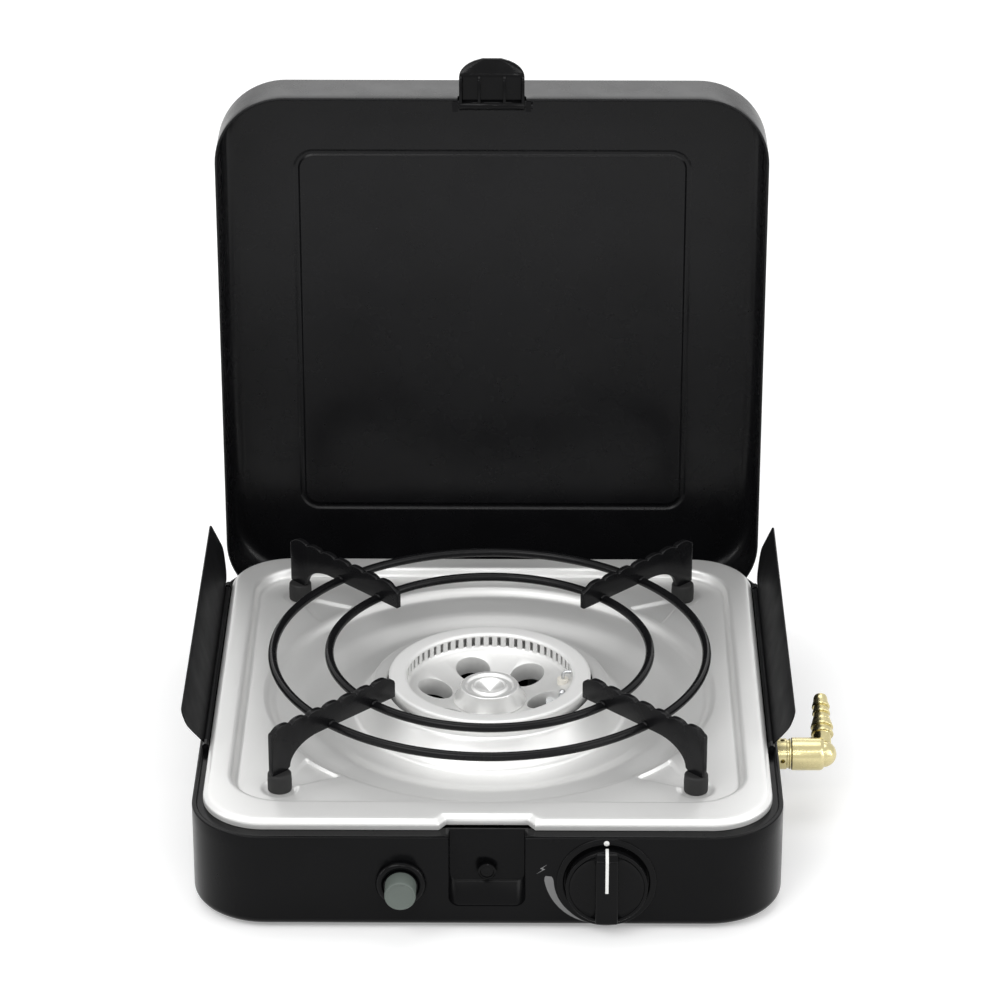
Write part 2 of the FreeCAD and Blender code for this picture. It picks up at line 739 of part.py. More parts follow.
def burner_stand():
    sheet = "1.5"
    ring = cut(cylinder("dims.burner_radius - 1", sheet, "0", BURNER_Y, "%s - 1.5" % STAND_TOP),
               cylinder("dims.burner_mouth_radius + 1.5", "8", "0", BURNER_Y, "%s - 5" % STAND_TOP))
    tab = box("30", "dims.burner_mouth_radius + 3", "dims.burner_offset - 15", "dims.burner_offset + 15",
              "%s - 1.5" % STAND_TOP, STAND_TOP)
    legs = []
    for angle in LEG_ANGLES:
        leg = box(LEG_CIRCLE, LEG_CIRCLE + " + 1.5", "-dims.stand_leg_width / 2", "dims.stand_leg_width / 2",
                  FLOOR, "%s - 1" % STAND_TOP)
        foot = box(LEG_CIRCLE, LEG_CIRCLE + " + 15", "-dims.stand_leg_width / 2", "dims.stand_leg_width / 2",
                   FLOOR, FLOOR + " + 1.5")
        one = fuse(leg, foot)
        place(one, "0", BURNER_Y, "0", (0, 0, 1), angle)
        legs.append(one)
    gap = cylinder("8.9", "20", INLET_X, INLET_Y, "30")
    probe = cylinder("2.05", "20", PROBE[0], PROBE[1], "35")
    ceramic = cylinder("3.05", "20", ELECTRODE[0], ELECTRODE[1], "35")
    holes = [cylinder("dims.screw_radius", "8", x, y, "0") for x, y in LEG_SCREWS]
    return cut(fuse(ring, tab, *legs), gap, probe, ceramic, *holes)


node("burner_cup", burner_cup())
node("burner_ring", burner_ring())
node("burner_cap", burner_cap())
node("burner_cap_nut", cap_nut())
node("burner_stand", burner_stand())


def mixing_tube():
    start = "(%s + dims.jet_cage)" % JET_Y
    rise = "dims.burner_bottom - (%s)" % JET_HEIGHT
    outer = bent_rod("dims.tube_radius", "dims.tube_bend", (INLET_X, start, JET_HEIGHT),
                     [("+Y", "%s - %s" % (INLET_Y, start)), ("+Z", rise + " - 2")])
    bore = bent_rod("dims.tube_radius - dims.tube_wall", "dims.tube_bend",
                    (INLET_X, start + " - 1", JET_HEIGHT),
                    [("+Y", "%s - %s + 1" % (INLET_Y, start)), ("+Z", rise)])
    return cut(outer, bore)


node("mixing_tube", mixing_tube())


def air_shutter():
    start = "(%s + dims.jet_cage + 9)" % JET_Y
    sleeve = cylinder("dims.tube_radius + 1.5", "9", INLET_X, start, JET_HEIGHT, "Y")
    bore = cylinder("dims.tube_radius", "12", INLET_X, start + " - 1", JET_HEIGHT, "Y")
    window = box(INLET_X + " - 3", INLET_X + " + 3", start + " + 2", start + " + 6",
                 "%s + 3" % JET_HEIGHT, "%s + dims.tube_radius + 5.5" % JET_HEIGHT)
    return cut(sleeve, bore, window)


def jet_holder():
    barrel = cylinder("dims.jet_holder_radius", "dims.jet_holder_length", INLET_X, JET_Y, JET_HEIGHT, "Y")
    way = cylinder("dims.jet_way_radius", "dims.jet_holder_length + 7", INLET_X, JET_Y + " - 2",
                   JET_HEIGHT, "Y")
    return cut(barrel, way)


def gas_jet():
    start = "(%s + dims.jet_holder_length)" % JET_Y
    head = hexagon("8", "4", INLET_X, start, JET_HEIGHT, "Y")
    nose = cone("3", "1.2", "4", INLET_X, start + " + 4", JET_HEIGHT, "Y")
    return cut(fuse(head, nose), cylinder("0.5", "12", INLET_X, start + " - 1", JET_HEIGHT, "Y"))


node("air_shutter", air_shutter())
node("jet_holder", jet_holder())
node("gas_jet", gas_jet())


def jet_bracket():
    left, right = INLET_X + " - 10", INLET_X + " + 10"
    near, far = JET_Y + " + 4", JET_Y + " + dims.jet_cage + 5"
    top = JET_HEIGHT + " + 9"
    ear_front = box(left, right, near, near + " + 1.6", FLOOR, top)
    ear_rear = box(left, right, far + " - 1.6", far, FLOOR, top)
    plate = box(left, right, near, far, FLOOR, FLOOR + " + 1.5")
    return cut(fuse(ear_front, ear_rear, plate),
               cylinder("dims.jet_holder_radius", "10", INLET_X, JET_Y, JET_HEIGHT, "Y"),
               cylinder("dims.tube_radius", "10", INLET_X, JET_Y + " + dims.jet_cage", JET_HEIGHT, "Y"),
               cylinder("dims.screw_radius", "8", *JET_SCREWS[0], "0"))


node("jet_bracket", jet_bracket())


# Gas valve behind the front panel.
VALVE_FRONT = "(%s + dims.base_wall + 2.5)" % FRONT
VALVE_REAR = "(%s + dims.valve_length)" % VALVE_FRONT
VALVE_X = "dims.knob_side"
VALVE_Z = "dims.knob_height"
GAS_PORT_Y = "(%s - 12)" % VALVE_REAR
JET_PORT_Y = "(%s - 9)" % VALVE_REAR
KNOB_BACK = "(%s - dims.knob_travel - dims.knob_gap)" % FRONT
SPINDLE_TIP = "(%s - dims.knob_skirt - dims.spindle_grip)" % KNOB_BACK
SPINDLE_END = "(%s - dims.magnet_setback)" % VALVE_REAR


def valve_body():
    half = "dims.valve_block / 2"
    block = box("%s - %s" % (VALVE_X, half), "%s + %s" % (VALVE_X, half), VALVE_FRONT, VALVE_REAR,
                "%s - %s" % (VALVE_Z, half), "%s + %s" % (VALVE_Z, half))
    neck = cylinder("dims.neck_radius", "dims.base_wall + 5.5", VALVE_X,
                    "%s - dims.base_wall - 4.5" % VALVE_FRONT, VALVE_Z, "Y")
    shoulder = cylinder("10", "2.6", VALVE_X, "%s - 2.5" % VALVE_FRONT, VALVE_Z, "Y")
    boss = cylinder("5", "6", "%s + %s" % (VALVE_X, half), GAS_PORT_Y, "dims.inlet_height", "X")
    stem_bore = cylinder("dims.spindle_radius + dims.spindle_clearance", "40", VALVE_X,
                         "%s - 20" % VALVE_FRONT, VALVE_Z, "Y")
    chamber = cylinder("4.1", "dims.magnet_setback - 1", VALVE_X, SPINDLE_END + " - 1.5", VALVE_Z, "Y")
    gas_way = cylinder("1.5", "20", "%s + 5" % VALVE_X, GAS_PORT_Y, "dims.inlet_height", "X")
    return cut(fuse(block, neck, shoulder, boss), stem_bore, chamber, gas_way)


node("valve_body", valve_body())
node("valve_nut", cut(hexagon("17", "dims.valve_nut_thickness", VALVE_X,
                              "%s - dims.valve_nut_thickness" % FRONT, VALVE_Z, "Y"),
                      cylinder("dims.neck_radius", "8", VALVE_X, "%s - 5" % FRONT, VALVE_Z, "Y")))
node("valve_plunger", cylinder("4", "8", VALVE_X, SPINDLE_END, VALVE_Z, "Y"))
node("magnet_unit", cylinder("dims.magnet_radius", "dims.magnet_length", VALVE_X, VALVE_REAR, VALVE_Z, "Y"))
node("jet_pipe", bent_rod("2.5", "7.5", ("%s - dims.valve_block / 2" % VALVE_X, JET_PORT_Y, VALVE_Z),
                          [("-X", "%s - dims.valve_block / 2 - %s" % (VALVE_X, INLET_X)),
                           ("+Y", "%s - %s" % (JET_Y, JET_PORT_Y))]))
node("gas_pipe", bent_rod("dims.pipe_radius", "15",
                          ("%s - 22" % HALF_WIDTH, "-dims.inlet_forward", "dims.inlet_height"),
                          [("-X", "28"), ("-Y", "-(%s) - dims.inlet_forward" % GAS_PORT_Y),
                           ("-X", "%s - 50 - %s - dims.valve_block / 2 - 6" % (HALF_WIDTH, VALVE_X))]))


# Knob: pressed in against the valve and turned.
def control_knob():
    disc = cylinder("dims.knob_radius", "dims.knob_skirt", VALVE_X, "%s - dims.knob_skirt" % KNOB_BACK,
                    VALVE_Z, "Y")
    hollow = cylinder("dims.knob_radius - dims.knob_wall", "dims.knob_skirt - 2", VALVE_X,
                      "%s - dims.knob_skirt + 2" % KNOB_BACK, VALVE_Z, "Y")
    front = "(%s - dims.knob_skirt)" % KNOB_BACK
    tip = "(%s - dims.grip_height)" % front
    top = "(%s + dims.knob_radius - 0.6)" % VALVE_Z
    low = "(%s - dims.knob_radius + 0.6)" % VALVE_Z
    slope = "dims.grip_height / 2"
    grip = prism([(front + " + 0.5", low), (front + " + 0.5", top), (tip, "%s - %s" % (top, slope)),
                  (tip, "%s + %s" % (low, slope))],
                 "YZ", "%s - dims.grip_width / 2" % VALVE_X, "dims.grip_width")
    reach = size("base_depth") / 2 + size("knob_travel") + size("knob_skirt") + size("grip_height") / 2
    rounded = round_edges(grip, grip.Tip, "dims.grip_edge_radius", lambda edge: edge.BoundBox.YMax < -reach)
    bore = cylinder("dims.spindle_radius", "12", VALVE_X, SPINDLE_TIP, VALVE_Z, "Y")
    return cut(fuse(disc, grip), hollow, bore)


node("control_knob", control_knob())
node("valve_spindle", cylinder("dims.spindle_radius", "%s - %s" % (SPINDLE_END, SPINDLE_TIP),
                               VALVE_X, SPINDLE_TIP, VALVE_Z, "Y"))
GRIP_TIP = "(%s - dims.knob_skirt - dims.grip_height)" % KNOB_BACK
node("knob_pointer", box("%s - 0.9" % VALVE_X, "%s + 0.9" % VALVE_X, GRIP_TIP + " - 0.3", GRIP_TIP,
                         VALVE_Z + " + 1", VALVE_Z + " + dims.knob_radius - 5.5"))
node("knob_bezel", cut(cylinder("dims.bezel_radius", "dims.bezel_thickness", VALVE_X,
                                "%s - dims.bezel_thickness" % FRONT, VALVE_Z, "Y"),
                       cylinder("dims.knob_radius + 0.5", "6", VALVE_X, "%s - 4" % FRONT, VALVE_Z, "Y")))


# Piezo igniter.
IGNITER_X = "-dims.igniter_side"
IGNITER_Z = "dims.igniter_height"
INNER_FRONT = "(%s + dims.base_wall)" % FRONT
IGNITER_REAR = "(%s + dims.igniter_body_length)" % INNER_FRONT


def igniter_body():
    barrel = cylinder("dims.igniter_body_radius", "dims.igniter_body_length", IGNITER_X, INNER_FRONT,
                      IGNITER_Z, "Y")
    neck = cylinder("dims.button_radius + 0.7", "dims.base_wall + dims.collar_thickness + 1", IGNITER_X,
                    "%s - dims.collar_thickness" % FRONT, IGNITER_Z, "Y")
    bore = cylinder("dims.button_radius + 0.05", "26", IGNITER_X, "%s - 6" % FRONT, IGNITER_Z, "Y")
    return cut(fuse(barrel, neck), bore)


node("igniter_body", igniter_body())
node("igniter_collar", cut(cylinder("dims.collar_radius", "dims.collar_thickness", IGNITER_X,
                                    "%s - dims.collar_thickness" % FRONT, IGNITER_Z, "Y"),
                           cylinder("dims.button_radius + 0.7", "8", IGNITER_X, "%s - 5" % FRONT,
                                    IGNITER_Z, "Y")))
node("igniter_button", cylinder("dims.button_radius", "dims.button_reach + 19.5 - dims.button_travel",
                                IGNITER_X, "%s - dims.button_reach" % FRONT, IGNITER_Z, "Y"))
node("electrode_ceramic", cut(cylinder("3", "28", ELECTRODE[0], ELECTRODE[1], "27"),
                              cylinder("0.9", "28", ELECTRODE[0], ELECTRODE[1], "30")))
node("electrode_wire", bent_rod("0.9", "2", (ELECTRODE[0], ELECTRODE[1], "30"),
                                [("+Z", "29"), ("+X", "4.5")]))
node("thermocouple", fuse(cylinder("2", "25", PROBE[0], PROBE[1], "30"),
                          cone("2", "1", "2", PROBE[0], PROBE[1], "55")))
node("ignition_lead", bent_rod("1.3", "8", (IGNITER_X, IGNITER_REAR, IGNITER_Z),
                               [("+Y", "18"), ("-Z", "dims.igniter_height - 10"),
                                ("+Y", "%s - 18 - (%s)" % (ELECTRODE[1], IGNITER_REAR)),
                                ("+X", "%s + dims.igniter_side" % ELECTRODE[0]), ("+Z", "17")]))
node("thermocouple_lead", bent_rod("1", "7", (VALVE_X, "%s + dims.magnet_length" % VALVE_REAR, VALVE_Z),
                                   [("+Y", "16"), ("-Z", "dims.knob_height - dims.lead_height"),
                                    ("+Y", "%s - 16 - dims.magnet_length - (%s)" % (PROBE[1], VALVE_REAR)),
                                    ("-X", "%s - %s" % (VALVE_X, PROBE[0])), ("+Z", "16")]))

# Standoffs between the floor and the cooktop, and the screws through the floor.
def standoffs():
    tubes = []
    for x, y in STANDOFFS:
        post = cylinder("dims.standoff_radius", "%s - dims.tray_sheet - %s" % (WELL, FLOOR), x, y, FLOOR)
        bore = cylinder("dims.screw_radius", "14 - dims.foot_height", x, y, "dims.foot_height")
        tubes.append(cut(post, bore))
    return group(*tubes)


def floor_screws():
    screws = []
    for x, y, reach in FLOOR_SCREWS:
        head = cylinder("dims.screw_head_radius", "dims.screw_head_height", x, y,
                        "dims.foot_height - dims.screw_head_height")
        screws.append(fuse(head, cylinder("dims.screw_radius", reach + " - dims.foot_height", x, y,
                                          "dims.foot_height")))
    return group(*screws)


node("standoffs", standoffs())
node("floor_screws", floor_screws())


# Pan support: two wire rings and four scalloped arms on rubber feet.
ARM_ANGLES = (45, 135, 225, 315)
ARM_WAIST = "(%s + dims.pad_height - dims.dimple_depth)" % WELL


def support_ring(radius):
    return torus(radius, "dims.ring_wire_radius", "0", BURNER_Y, "dims.ring_height")


def arm_points():
    """The arm's outline from its inner end over the scallops and down the outer leg."""
    top = "dims.support_top"
    low = "(dims.support_top - dims.arch_depth)"
    points = [("dims.arm_inner_end", "dims.ring_height - 1"), ("dims.arm_inner_end", low + " - 1")]
    for index in reversed(range(int(size("arch_count")))):
        peak = "(dims.arm_outer_end - 8 - %d * dims.arch_pitch)" % index
        points += [(peak + " - dims.arch_pitch / 2", low),
                   (peak + " - dims.arch_pitch * 0.28", top + " - 0.7"),
                   (peak + " - dims.arch_pitch * 0.1", top), (peak + " + dims.arch_pitch * 0.1", top),
                   (peak + " + dims.arch_pitch * 0.28", top + " - 0.7")]
    outer = "dims.arm_outer_end"
    circle = "dims.support_foot_circle"
    points += [(outer + " - 1.5", top + " - 2.2"), (outer, top + " - 4"), (outer, ARM_WAIST),
               (circle + " + 4.5", ARM_WAIST), (circle + " + 4.5", ARM_WAIST + " - 6"),
               (circle + " - 4.5", ARM_WAIST + " - 6"), (circle + " - 4.5", ARM_WAIST),
               (circle + " - 6.5", ARM_WAIST + " + 4"), (circle + " - 12", ARM_WAIST + " + 10"),
               (circle + " - 21", "dims.ring_height - 1")]
    return points


def mirrored(feature, normal, level="0"):
    """The feature's mirror image across a plane through x = 0 or through the given y."""
    image = doc.addObject("Part::Mirroring", fresh_name("mirror"))
    image.Source = feature
    image.Normal = FreeCAD.Vector(*normal)
    image.setExpression("Base.y", level)
    return image


def support_arms():
    arm = across(arm_points(), "-dims.arm_thickness / 2", "dims.arm_thickness / 2")
    place(arm, "0", BURNER_Y, "0", (0, 0, 1), 45)
    seated = cut(arm, support_ring("dims.outer_ring_radius"), support_ring("dims.inner_ring_radius"))
    other = mirrored(seated, (1, 0, 0))
    return group(seated, other, mirrored(seated, (0, 1, 0), BURNER_Y), mirrored(other, (0, 1, 0), BURNER_Y))


def support_feet():
    pads = []
    for angle in ARM_ANGLES:
        pad = cylinder("dims.pad_radius", "dims.pad_height", "dims.support_foot_circle * cos(%d)" % angle,
                       "dims.burner_offset + dims.support_foot_circle * sin(%d)" % angle,
                       "%s - dims.dimple_depth" % WELL)
        near = "(dims.support_foot_circle - 4.5)"
        far = "(dims.support_foot_circle + 4.5)"
        socket = across([(near, ARM_WAIST + " - 6"), (far, ARM_WAIST + " - 6"), (far, ARM_WAIST + " + 1"),
                         (near, ARM_WAIST + " + 1")], "-dims.arm_thickness / 2", "dims.arm_thickness / 2")
        place(socket, "0", BURNER_Y, "0", (0, 0, 1), angle)
        pads.append(cut(pad, socket))
    return group(*pads)


node("outer_ring", support_ring("dims.outer_ring_radius"))
node("inner_ring", support_ring("dims.inner_ring_radius"))
node("support_arms", support_arms())
node("support_feet", support_feet())


# Lid: drawn closed, then stood up about its hinge.
def stood_up(feature):
    return place(feature, "0", "%s - %s" % (HINGE_Y, HINGE_Z), "%s + %s" % (HINGE_Z, HINGE_Y), (1, 0, 0), -90)


LID_FRONT = FRONT
LID_BACK = "(%s - dims.lid_rear_inset)" % REAR
LID_TOP = "(%s + dims.lid_depth)" % LID_RIM
STRAPS = ["(%d * dims.hinge_spacing / 2)" % side for side in (-1, 1)]
RIVETS = [("(%s %s 6)" % (x, sign), "(%s + 17)" % LID_RIM) for x in STRAPS for sign in "-+"]


def bead_ring(low, high, half_width):
    """The rounded square ring pressed into the lid's panel."""
    middle = "(%s + %s) / 2" % (LID_FRONT, LID_BACK)
    sides = []
    for sign in "+-":
        reach = "(dims.bead_size / 2 %s %s)" % (sign, half_width)
        sides.append(rounded_box("-" + reach, reach, "%s - %s" % (middle, reach), "%s + %s" % (middle, reach),
                                 low, high, "dims.bead_corner_radius %s %s" % (sign, half_width)))
    return cut(*sides)


def lid():
    sheet = "dims.lid_sheet"
    outer = rounded_box("-" + HALF_WIDTH, HALF_WIDTH, LID_FRONT, LID_BACK, LID_RIM, LID_TOP,
                        "dims.corner_radius", top_edge="dims.lid_edge_radius")
    side = "(%s - %s)" % (HALF_WIDTH, sheet)
    inner = rounded_box("-" + side, side, "%s + %s" % (LID_FRONT, sheet), "%s - %s" % (LID_BACK, sheet),
                        LID_RIM + " - 2", "%s - %s" % (LID_TOP, sheet), "dims.corner_radius - " + sheet,
                        top_edge="dims.lid_edge_radius - " + sheet)
    shell = cut(fuse(outer, bead_ring(LID_TOP, LID_TOP + " + dims.bead_depth", "dims.bead_width / 2")), inner)
    ceiling = "%s - %s" % (LID_TOP, sheet)
    groove = bead_ring(ceiling + " - 0.5", ceiling + " + dims.bead_depth", "dims.bead_width / 2")
    notch = box("-dims.latch_width / 2 - 0.9", "dims.latch_width / 2 + 0.9", LID_FRONT + " - 1",
                LID_FRONT + " + 3", LID_RIM + " - 1", LID_RIM + " + 5.2")
    holes = [cylinder("dims.screw_radius", "8", x, LID_BACK + " - 5", z, "Y") for x, z in RIVETS]
    return stood_up(cut(shell, groove, notch, *holes))


def hinge_straps():
    inner = "(%s - dims.lid_sheet - dims.strap_sheet)" % LID_BACK
    outer = "(%s - dims.lid_sheet)" % LID_BACK
    straps = []
    for index, x in enumerate(STRAPS):
        left = x + " - dims.strap_width / 2"
        right = x + " + dims.strap_width / 2"
        web_low = "%s - dims.strap_sheet / 2" % HINGE_Z
        plate = box(left, right, inner, outer, web_low, LID_RIM + " + dims.strap_reach")
        web = box(left, right, HINGE_Y, outer, web_low, "%s + dims.strap_sheet / 2" % HINGE_Z)
        knuckle = cylinder("dims.knuckle_radius", "dims.strap_width", left, HINGE_Y, HINGE_Z, "X")
        bore = cylinder("dims.hinge_pin_radius + dims.hinge_clearance", "dims.strap_width + 4", left + " - 2",
                        HINGE_Y, HINGE_Z, "X")
        holes = [cylinder("dims.screw_radius", "8", rx, LID_BACK + " - 5", rz, "Y")
                 for rx, rz in RIVETS[2 * index:2 * index + 2]]
        straps.append(cut(fuse(plate, web, knuckle), bore, *holes))
    return stood_up(group(*straps))


def strap_rivets():
    rivets = []
    face = "(%s - dims.lid_sheet - dims.strap_sheet)" % LID_BACK
    for x, z in RIVETS:
        rivets.append(fuse(cylinder("dims.screw_head_radius - 0.5", "1", x, LID_BACK, z, "Y"),
                           cylinder("dims.screw_radius", "%s - %s" % (LID_BACK, face), x, face, z, "Y"),
                           cylinder("dims.screw_head_radius - 0.5", "0.8", x, face + " - 0.8", z, "Y")))
    return stood_up(group(*rivets))


EAR_IN = "(dims.strap_width / 2 + 1.5)"


def hinge_bracket(x, screws):
    sheet = "dims.bracket_sheet"
    plate = box("%s - %s - 3" % (x, EAR_IN), "%s + %s + 3" % (x, EAR_IN), HINGE_Y + " - 8", HINGE_Y + " + 8",
                FLOOR, "%s + %s" % (FLOOR, sheet))
    near, far, top = HINGE_Y + " - 6", HINGE_Y + " + 6", HINGE_Z + " + 5"
    left = box("%s - %s - %s" % (x, EAR_IN, sheet), "%s - %s" % (x, EAR_IN), near, far, FLOOR, top)
    right = box("%s + %s" % (x, EAR_IN), "%s + %s + %s" % (x, EAR_IN, sheet), near, far, FLOOR, top)
    bore = cylinder("dims.hinge_pin_radius", "60", x + " - 30", HINGE_Y, HINGE_Z, "X")
    holes = [cylinder("dims.screw_radius", "8", sx, sy, "0") for sx, sy in screws]
    return cut(fuse(plate, left, right), bore, *holes)


node("lid", lid())
node("hinge_straps", hinge_straps())
node("strap_rivets", strap_rivets())
node("hinge_bracket_left", hinge_bracket(STRAPS[0], HINGE_SCREWS[:2]))
node("hinge_bracket_right", hinge_bracket(STRAPS[1], HINGE_SCREWS[2:]))
node("hinge_pins", group(*[cylinder("dims.hinge_pin_radius", "2 * %s + 2 * dims.bracket_sheet + 2" % EAR_IN,
                                    "%s - %s - dims.bracket_sheet - 1" % (x, EAR_IN), HINGE_Y, HINGE_Z, "X")
                           for x in STRAPS]))


# Latch: drawn closed against the casing, then swung out on the standing lid.
PIVOT_Y = "(%s + dims.latch_pivot_setback)" % FRONT
PIVOT_Z = "(%s + dims.latch_pivot_rise)" % LID_RIM
EAR_X = "(dims.latch_width / 2 + 0.6)"


def swung_out(feature):
    return place(feature, "0", "%s - %s + %s + %s" % (HINGE_Y, HINGE_Z, PIVOT_Y, PIVOT_Z),
                 "%s + %s - %s + %s" % (HINGE_Z, HINGE_Y, PIVOT_Y, PIVOT_Z), (1, 0, 0), 180)


def latch():
    half = "(dims.latch_width / 2)"
    face = "(%s - 2.5)" % PIVOT_Y
    back = "(%s + dims.latch_skin)" % face
    top = "(%s + 2)" % PIVOT_Z
    bend = "(%s - dims.latch_plate_length)" % PIVOT_Z
    tip = "(%s - dims.latch_lip_length)" % bend
    skin = prism([(face, top), (face, bend), ("%s - dims.latch_lip_flare" % face, tip),
                  ("%s - dims.latch_lip_flare" % back, tip), (back, bend), (back, top)],
                 "YZ", "-" + half, "2 * " + half)
    corner = "(%s - 9)" % half
    left_side = [("-" + half, top + " + 1"), ("-" + half, tip + " + 8"),
                 ("-%s + 2.5" % half, tip + " + 3.5"), ("-" + corner + " - 3", tip + " + 1"),
                 ("-" + corner, tip)]
    right_side = [(corner, tip), (corner + " + 3", tip + " + 1"), (half + " - 2.5", tip + " + 3.5"),
                  (half, tip + " + 8"), (half, top + " + 1")]
    shape = across(left_side + right_side, face + " - 10", face + " + 10")
    solids = [common(skin, shape)]
    for x in ("(-%s + dims.latch_skin / 2)" % half, "(%s - dims.latch_skin / 2)" % half,
              "(-dims.latch_rib_spacing / 2)", "(dims.latch_rib_spacing / 2)"):
        solids.append(box(x + " - dims.latch_skin / 2", x + " + dims.latch_skin / 2", face, back + " + 2.9",
                          bend + " + 1.5", PIVOT_Z))
    solids.append(cylinder("dims.latch_barrel_radius", "2 * " + half, "-" + half, PIVOT_Y, PIVOT_Z, "X"))
    bore = cylinder("dims.latch_pin_radius + dims.rod_clearance", "60", "-30", PIVOT_Y, PIVOT_Z, "X")
    return swung_out(cut(fuse(*solids), bore))


def latch_bracket():
    wall = "(%s + dims.lid_sheet)" % LID_FRONT
    web_low = "(%s + 5.4)" % LID_RIM
    web = box("-%s - 3" % EAR_X, "%s + 3" % EAR_X, wall, wall + " + 1.5", web_low, web_low + " + 7")
    ear_low, ear_top = LID_RIM + " + 0.2", web_low + " + 1.4"
    ears = [box("-%s - 3" % EAR_X, "-" + EAR_X, wall, wall + " + 6", ear_low, ear_top),
            box(EAR_X, EAR_X + " + 3", wall, wall + " + 6", ear_low, ear_top)]
    bore = cylinder("dims.latch_pin_radius", "60", "-30", PIVOT_Y, PIVOT_Z, "X")
    return stood_up(cut(fuse(web, *ears), bore))


node("latch", latch())
node("latch_bracket", latch_bracket())
node("latch_pin", stood_up(fuse(cylinder("dims.latch_pin_radius", "2 * %s + 6.6" % EAR_X, "-%s - 3.3" % EAR_X,
                                         PIVOT_Y, PIVOT_Z, "X"),
                                cylinder("dims.latch_pin_radius + 0.6", "0.8", "%s + 3" % EAR_X,
                                         PIVOT_Y, PIVOT_Z, "X"))))
RECESS_BACK = "(%s + dims.recess_depth)" % FRONT
node("latch_stud", fuse(cylinder("dims.stud_radius", "4", "0", RECESS_BACK + " - 4", "dims.stud_height", "Y"),
                        cylinder("dims.stud_radius - 2.1", "dims.recess_skin", "0", RECESS_BACK,
                                 "dims.stud_height", "Y"),
                        cylinder("dims.stud_radius - 0.6", "1.6", "0", RECESS_BACK + " + dims.recess_skin",
                                 "dims.stud_height", "Y")))


# Windshields: drawn upright about their hinge line, then leaned outward.
SHIELD_Z = "(%s + dims.shield_hinge_rise)" % RIM
HEM_FRONT = "dims.shield_front_low"
HEM_REAR = "(dims.shield_rear - dims.shield_tail)"
SHIELD_X = "(%s - dims.shield_hinge_inset)" % HALF_WIDTH


def windshield(side):
    low = HEM_FRONT
    high = "dims.shield_front_high"
    slant = "(%s - %s)" % (high, low)
    top = "dims.shield_height"
    rear = "dims.shield_rear"
    points = [(low, "0"), (HEM_REAR, "0"), (HEM_REAR, "dims.hem_lift"),
              (rear + " - dims.shield_tail / 2", "dims.hem_lift + 1"), (rear, "dims.hem_lift + 4"),
              (rear, top + " - 5"), (rear + " - 1.5", top + " - 1.5"), (rear + " - 5", top),
              (high + " + 3", top), (high + " + 0.8", top + " - 1"),
              (high, top + " - 3"), ("%s + 0.9 * %s" % (low, slant), top + " - 7"),
              ("%s + 0.64 * %s" % (low, slant), top + " * 0.58"),
              ("%s + 0.34 * %s" % (low, slant), top + " * 0.34"),
              ("%s + 0.1 * %s" % (low, slant), top + " * 0.15")]
    start = "dims.hem_radius - dims.shield_sheet" if side > 0 else "-dims.hem_radius"
    panel = prism(points, "YZ", start, "dims.shield_sheet")
    hem = cylinder("dims.hem_radius", "%s - %s" % (HEM_REAR, HEM_FRONT), "0", HEM_FRONT, "0", "Y")
    bore = cylinder("dims.rod_radius + dims.rod_clearance", "%s - %s + 40" % (HEM_REAR, HEM_FRONT), "0",
                    HEM_FRONT + " - 20", "0", "Y")
    shield = cut(fuse(panel, hem), bore)
    place(shield, "%d * %s" % (side, SHIELD_X), "0", SHIELD_Z, (0, 1, 0), size("shield_lean"))
    shield.setExpression("Placement.Rotation.Angle", "%d * dims.shield_lean" % side)
    return shield


def shield_clips(side):
    clips = []
    near = "(%s - dims.hem_radius)" % SHIELD_X
    far = "(%s + dims.hem_radius)" % SHIELD_X
    wall = "(%s - dims.base_wall - 0.1)" % HALF_WIDTH
    foot = "(%s + 0.1)" % RIM
    points = [(near, SHELF), (wall, SHELF), (wall, foot), (far, foot), (far, SHIELD_Z + " + 1"),
              (far + " - 1", SHIELD_Z + " + 2"), (near + " + 1", SHIELD_Z + " + 2"),
              (near, SHIELD_Z + " + 1")]
    if side < 0:
        points = [("-(%s)" % x, z) for x, z in points]
    for y0, y1 in ((HEM_FRONT + " - 6", HEM_FRONT + " - 1"), (HEM_REAR + " + 1", HEM_REAR + " + 5")):
        clip = across(points, y0, y1)
        clips.append(cut(clip, cylinder("dims.rod_radius", "20", "%d * %s" % (side, SHIELD_X),
                                        y0 + " - 5", SHIELD_Z, "Y")))
    return clips


node("windshield_left", windshield(-1))
node("windshield_right", windshield(1))
node("windshield_clips", group(*shield_clips(-1), *shield_clips(1)))
node("windshield_rods", group(*[cylinder("dims.rod_radius", "%s - %s + 11" % (HEM_REAR, HEM_FRONT),
                                         "%d * %s" % (side, SHIELD_X), HEM_FRONT + " - 6",
                                         SHIELD_Z, "Y")
                                for side in (-1, 1)]))


# Gas inlet with a hose tail that swivels on the right wall.
INLET_LINE = ("-dims.inlet_forward", "dims.inlet_height")
UNION_END = "(%s + dims.union_reach)" % HALF_WIDTH
SWIVEL_START = "(%s + dims.swivel_gap)" % UNION_END
SWIVEL_END = "(%s + dims.swivel_length)" % SWIVEL_START


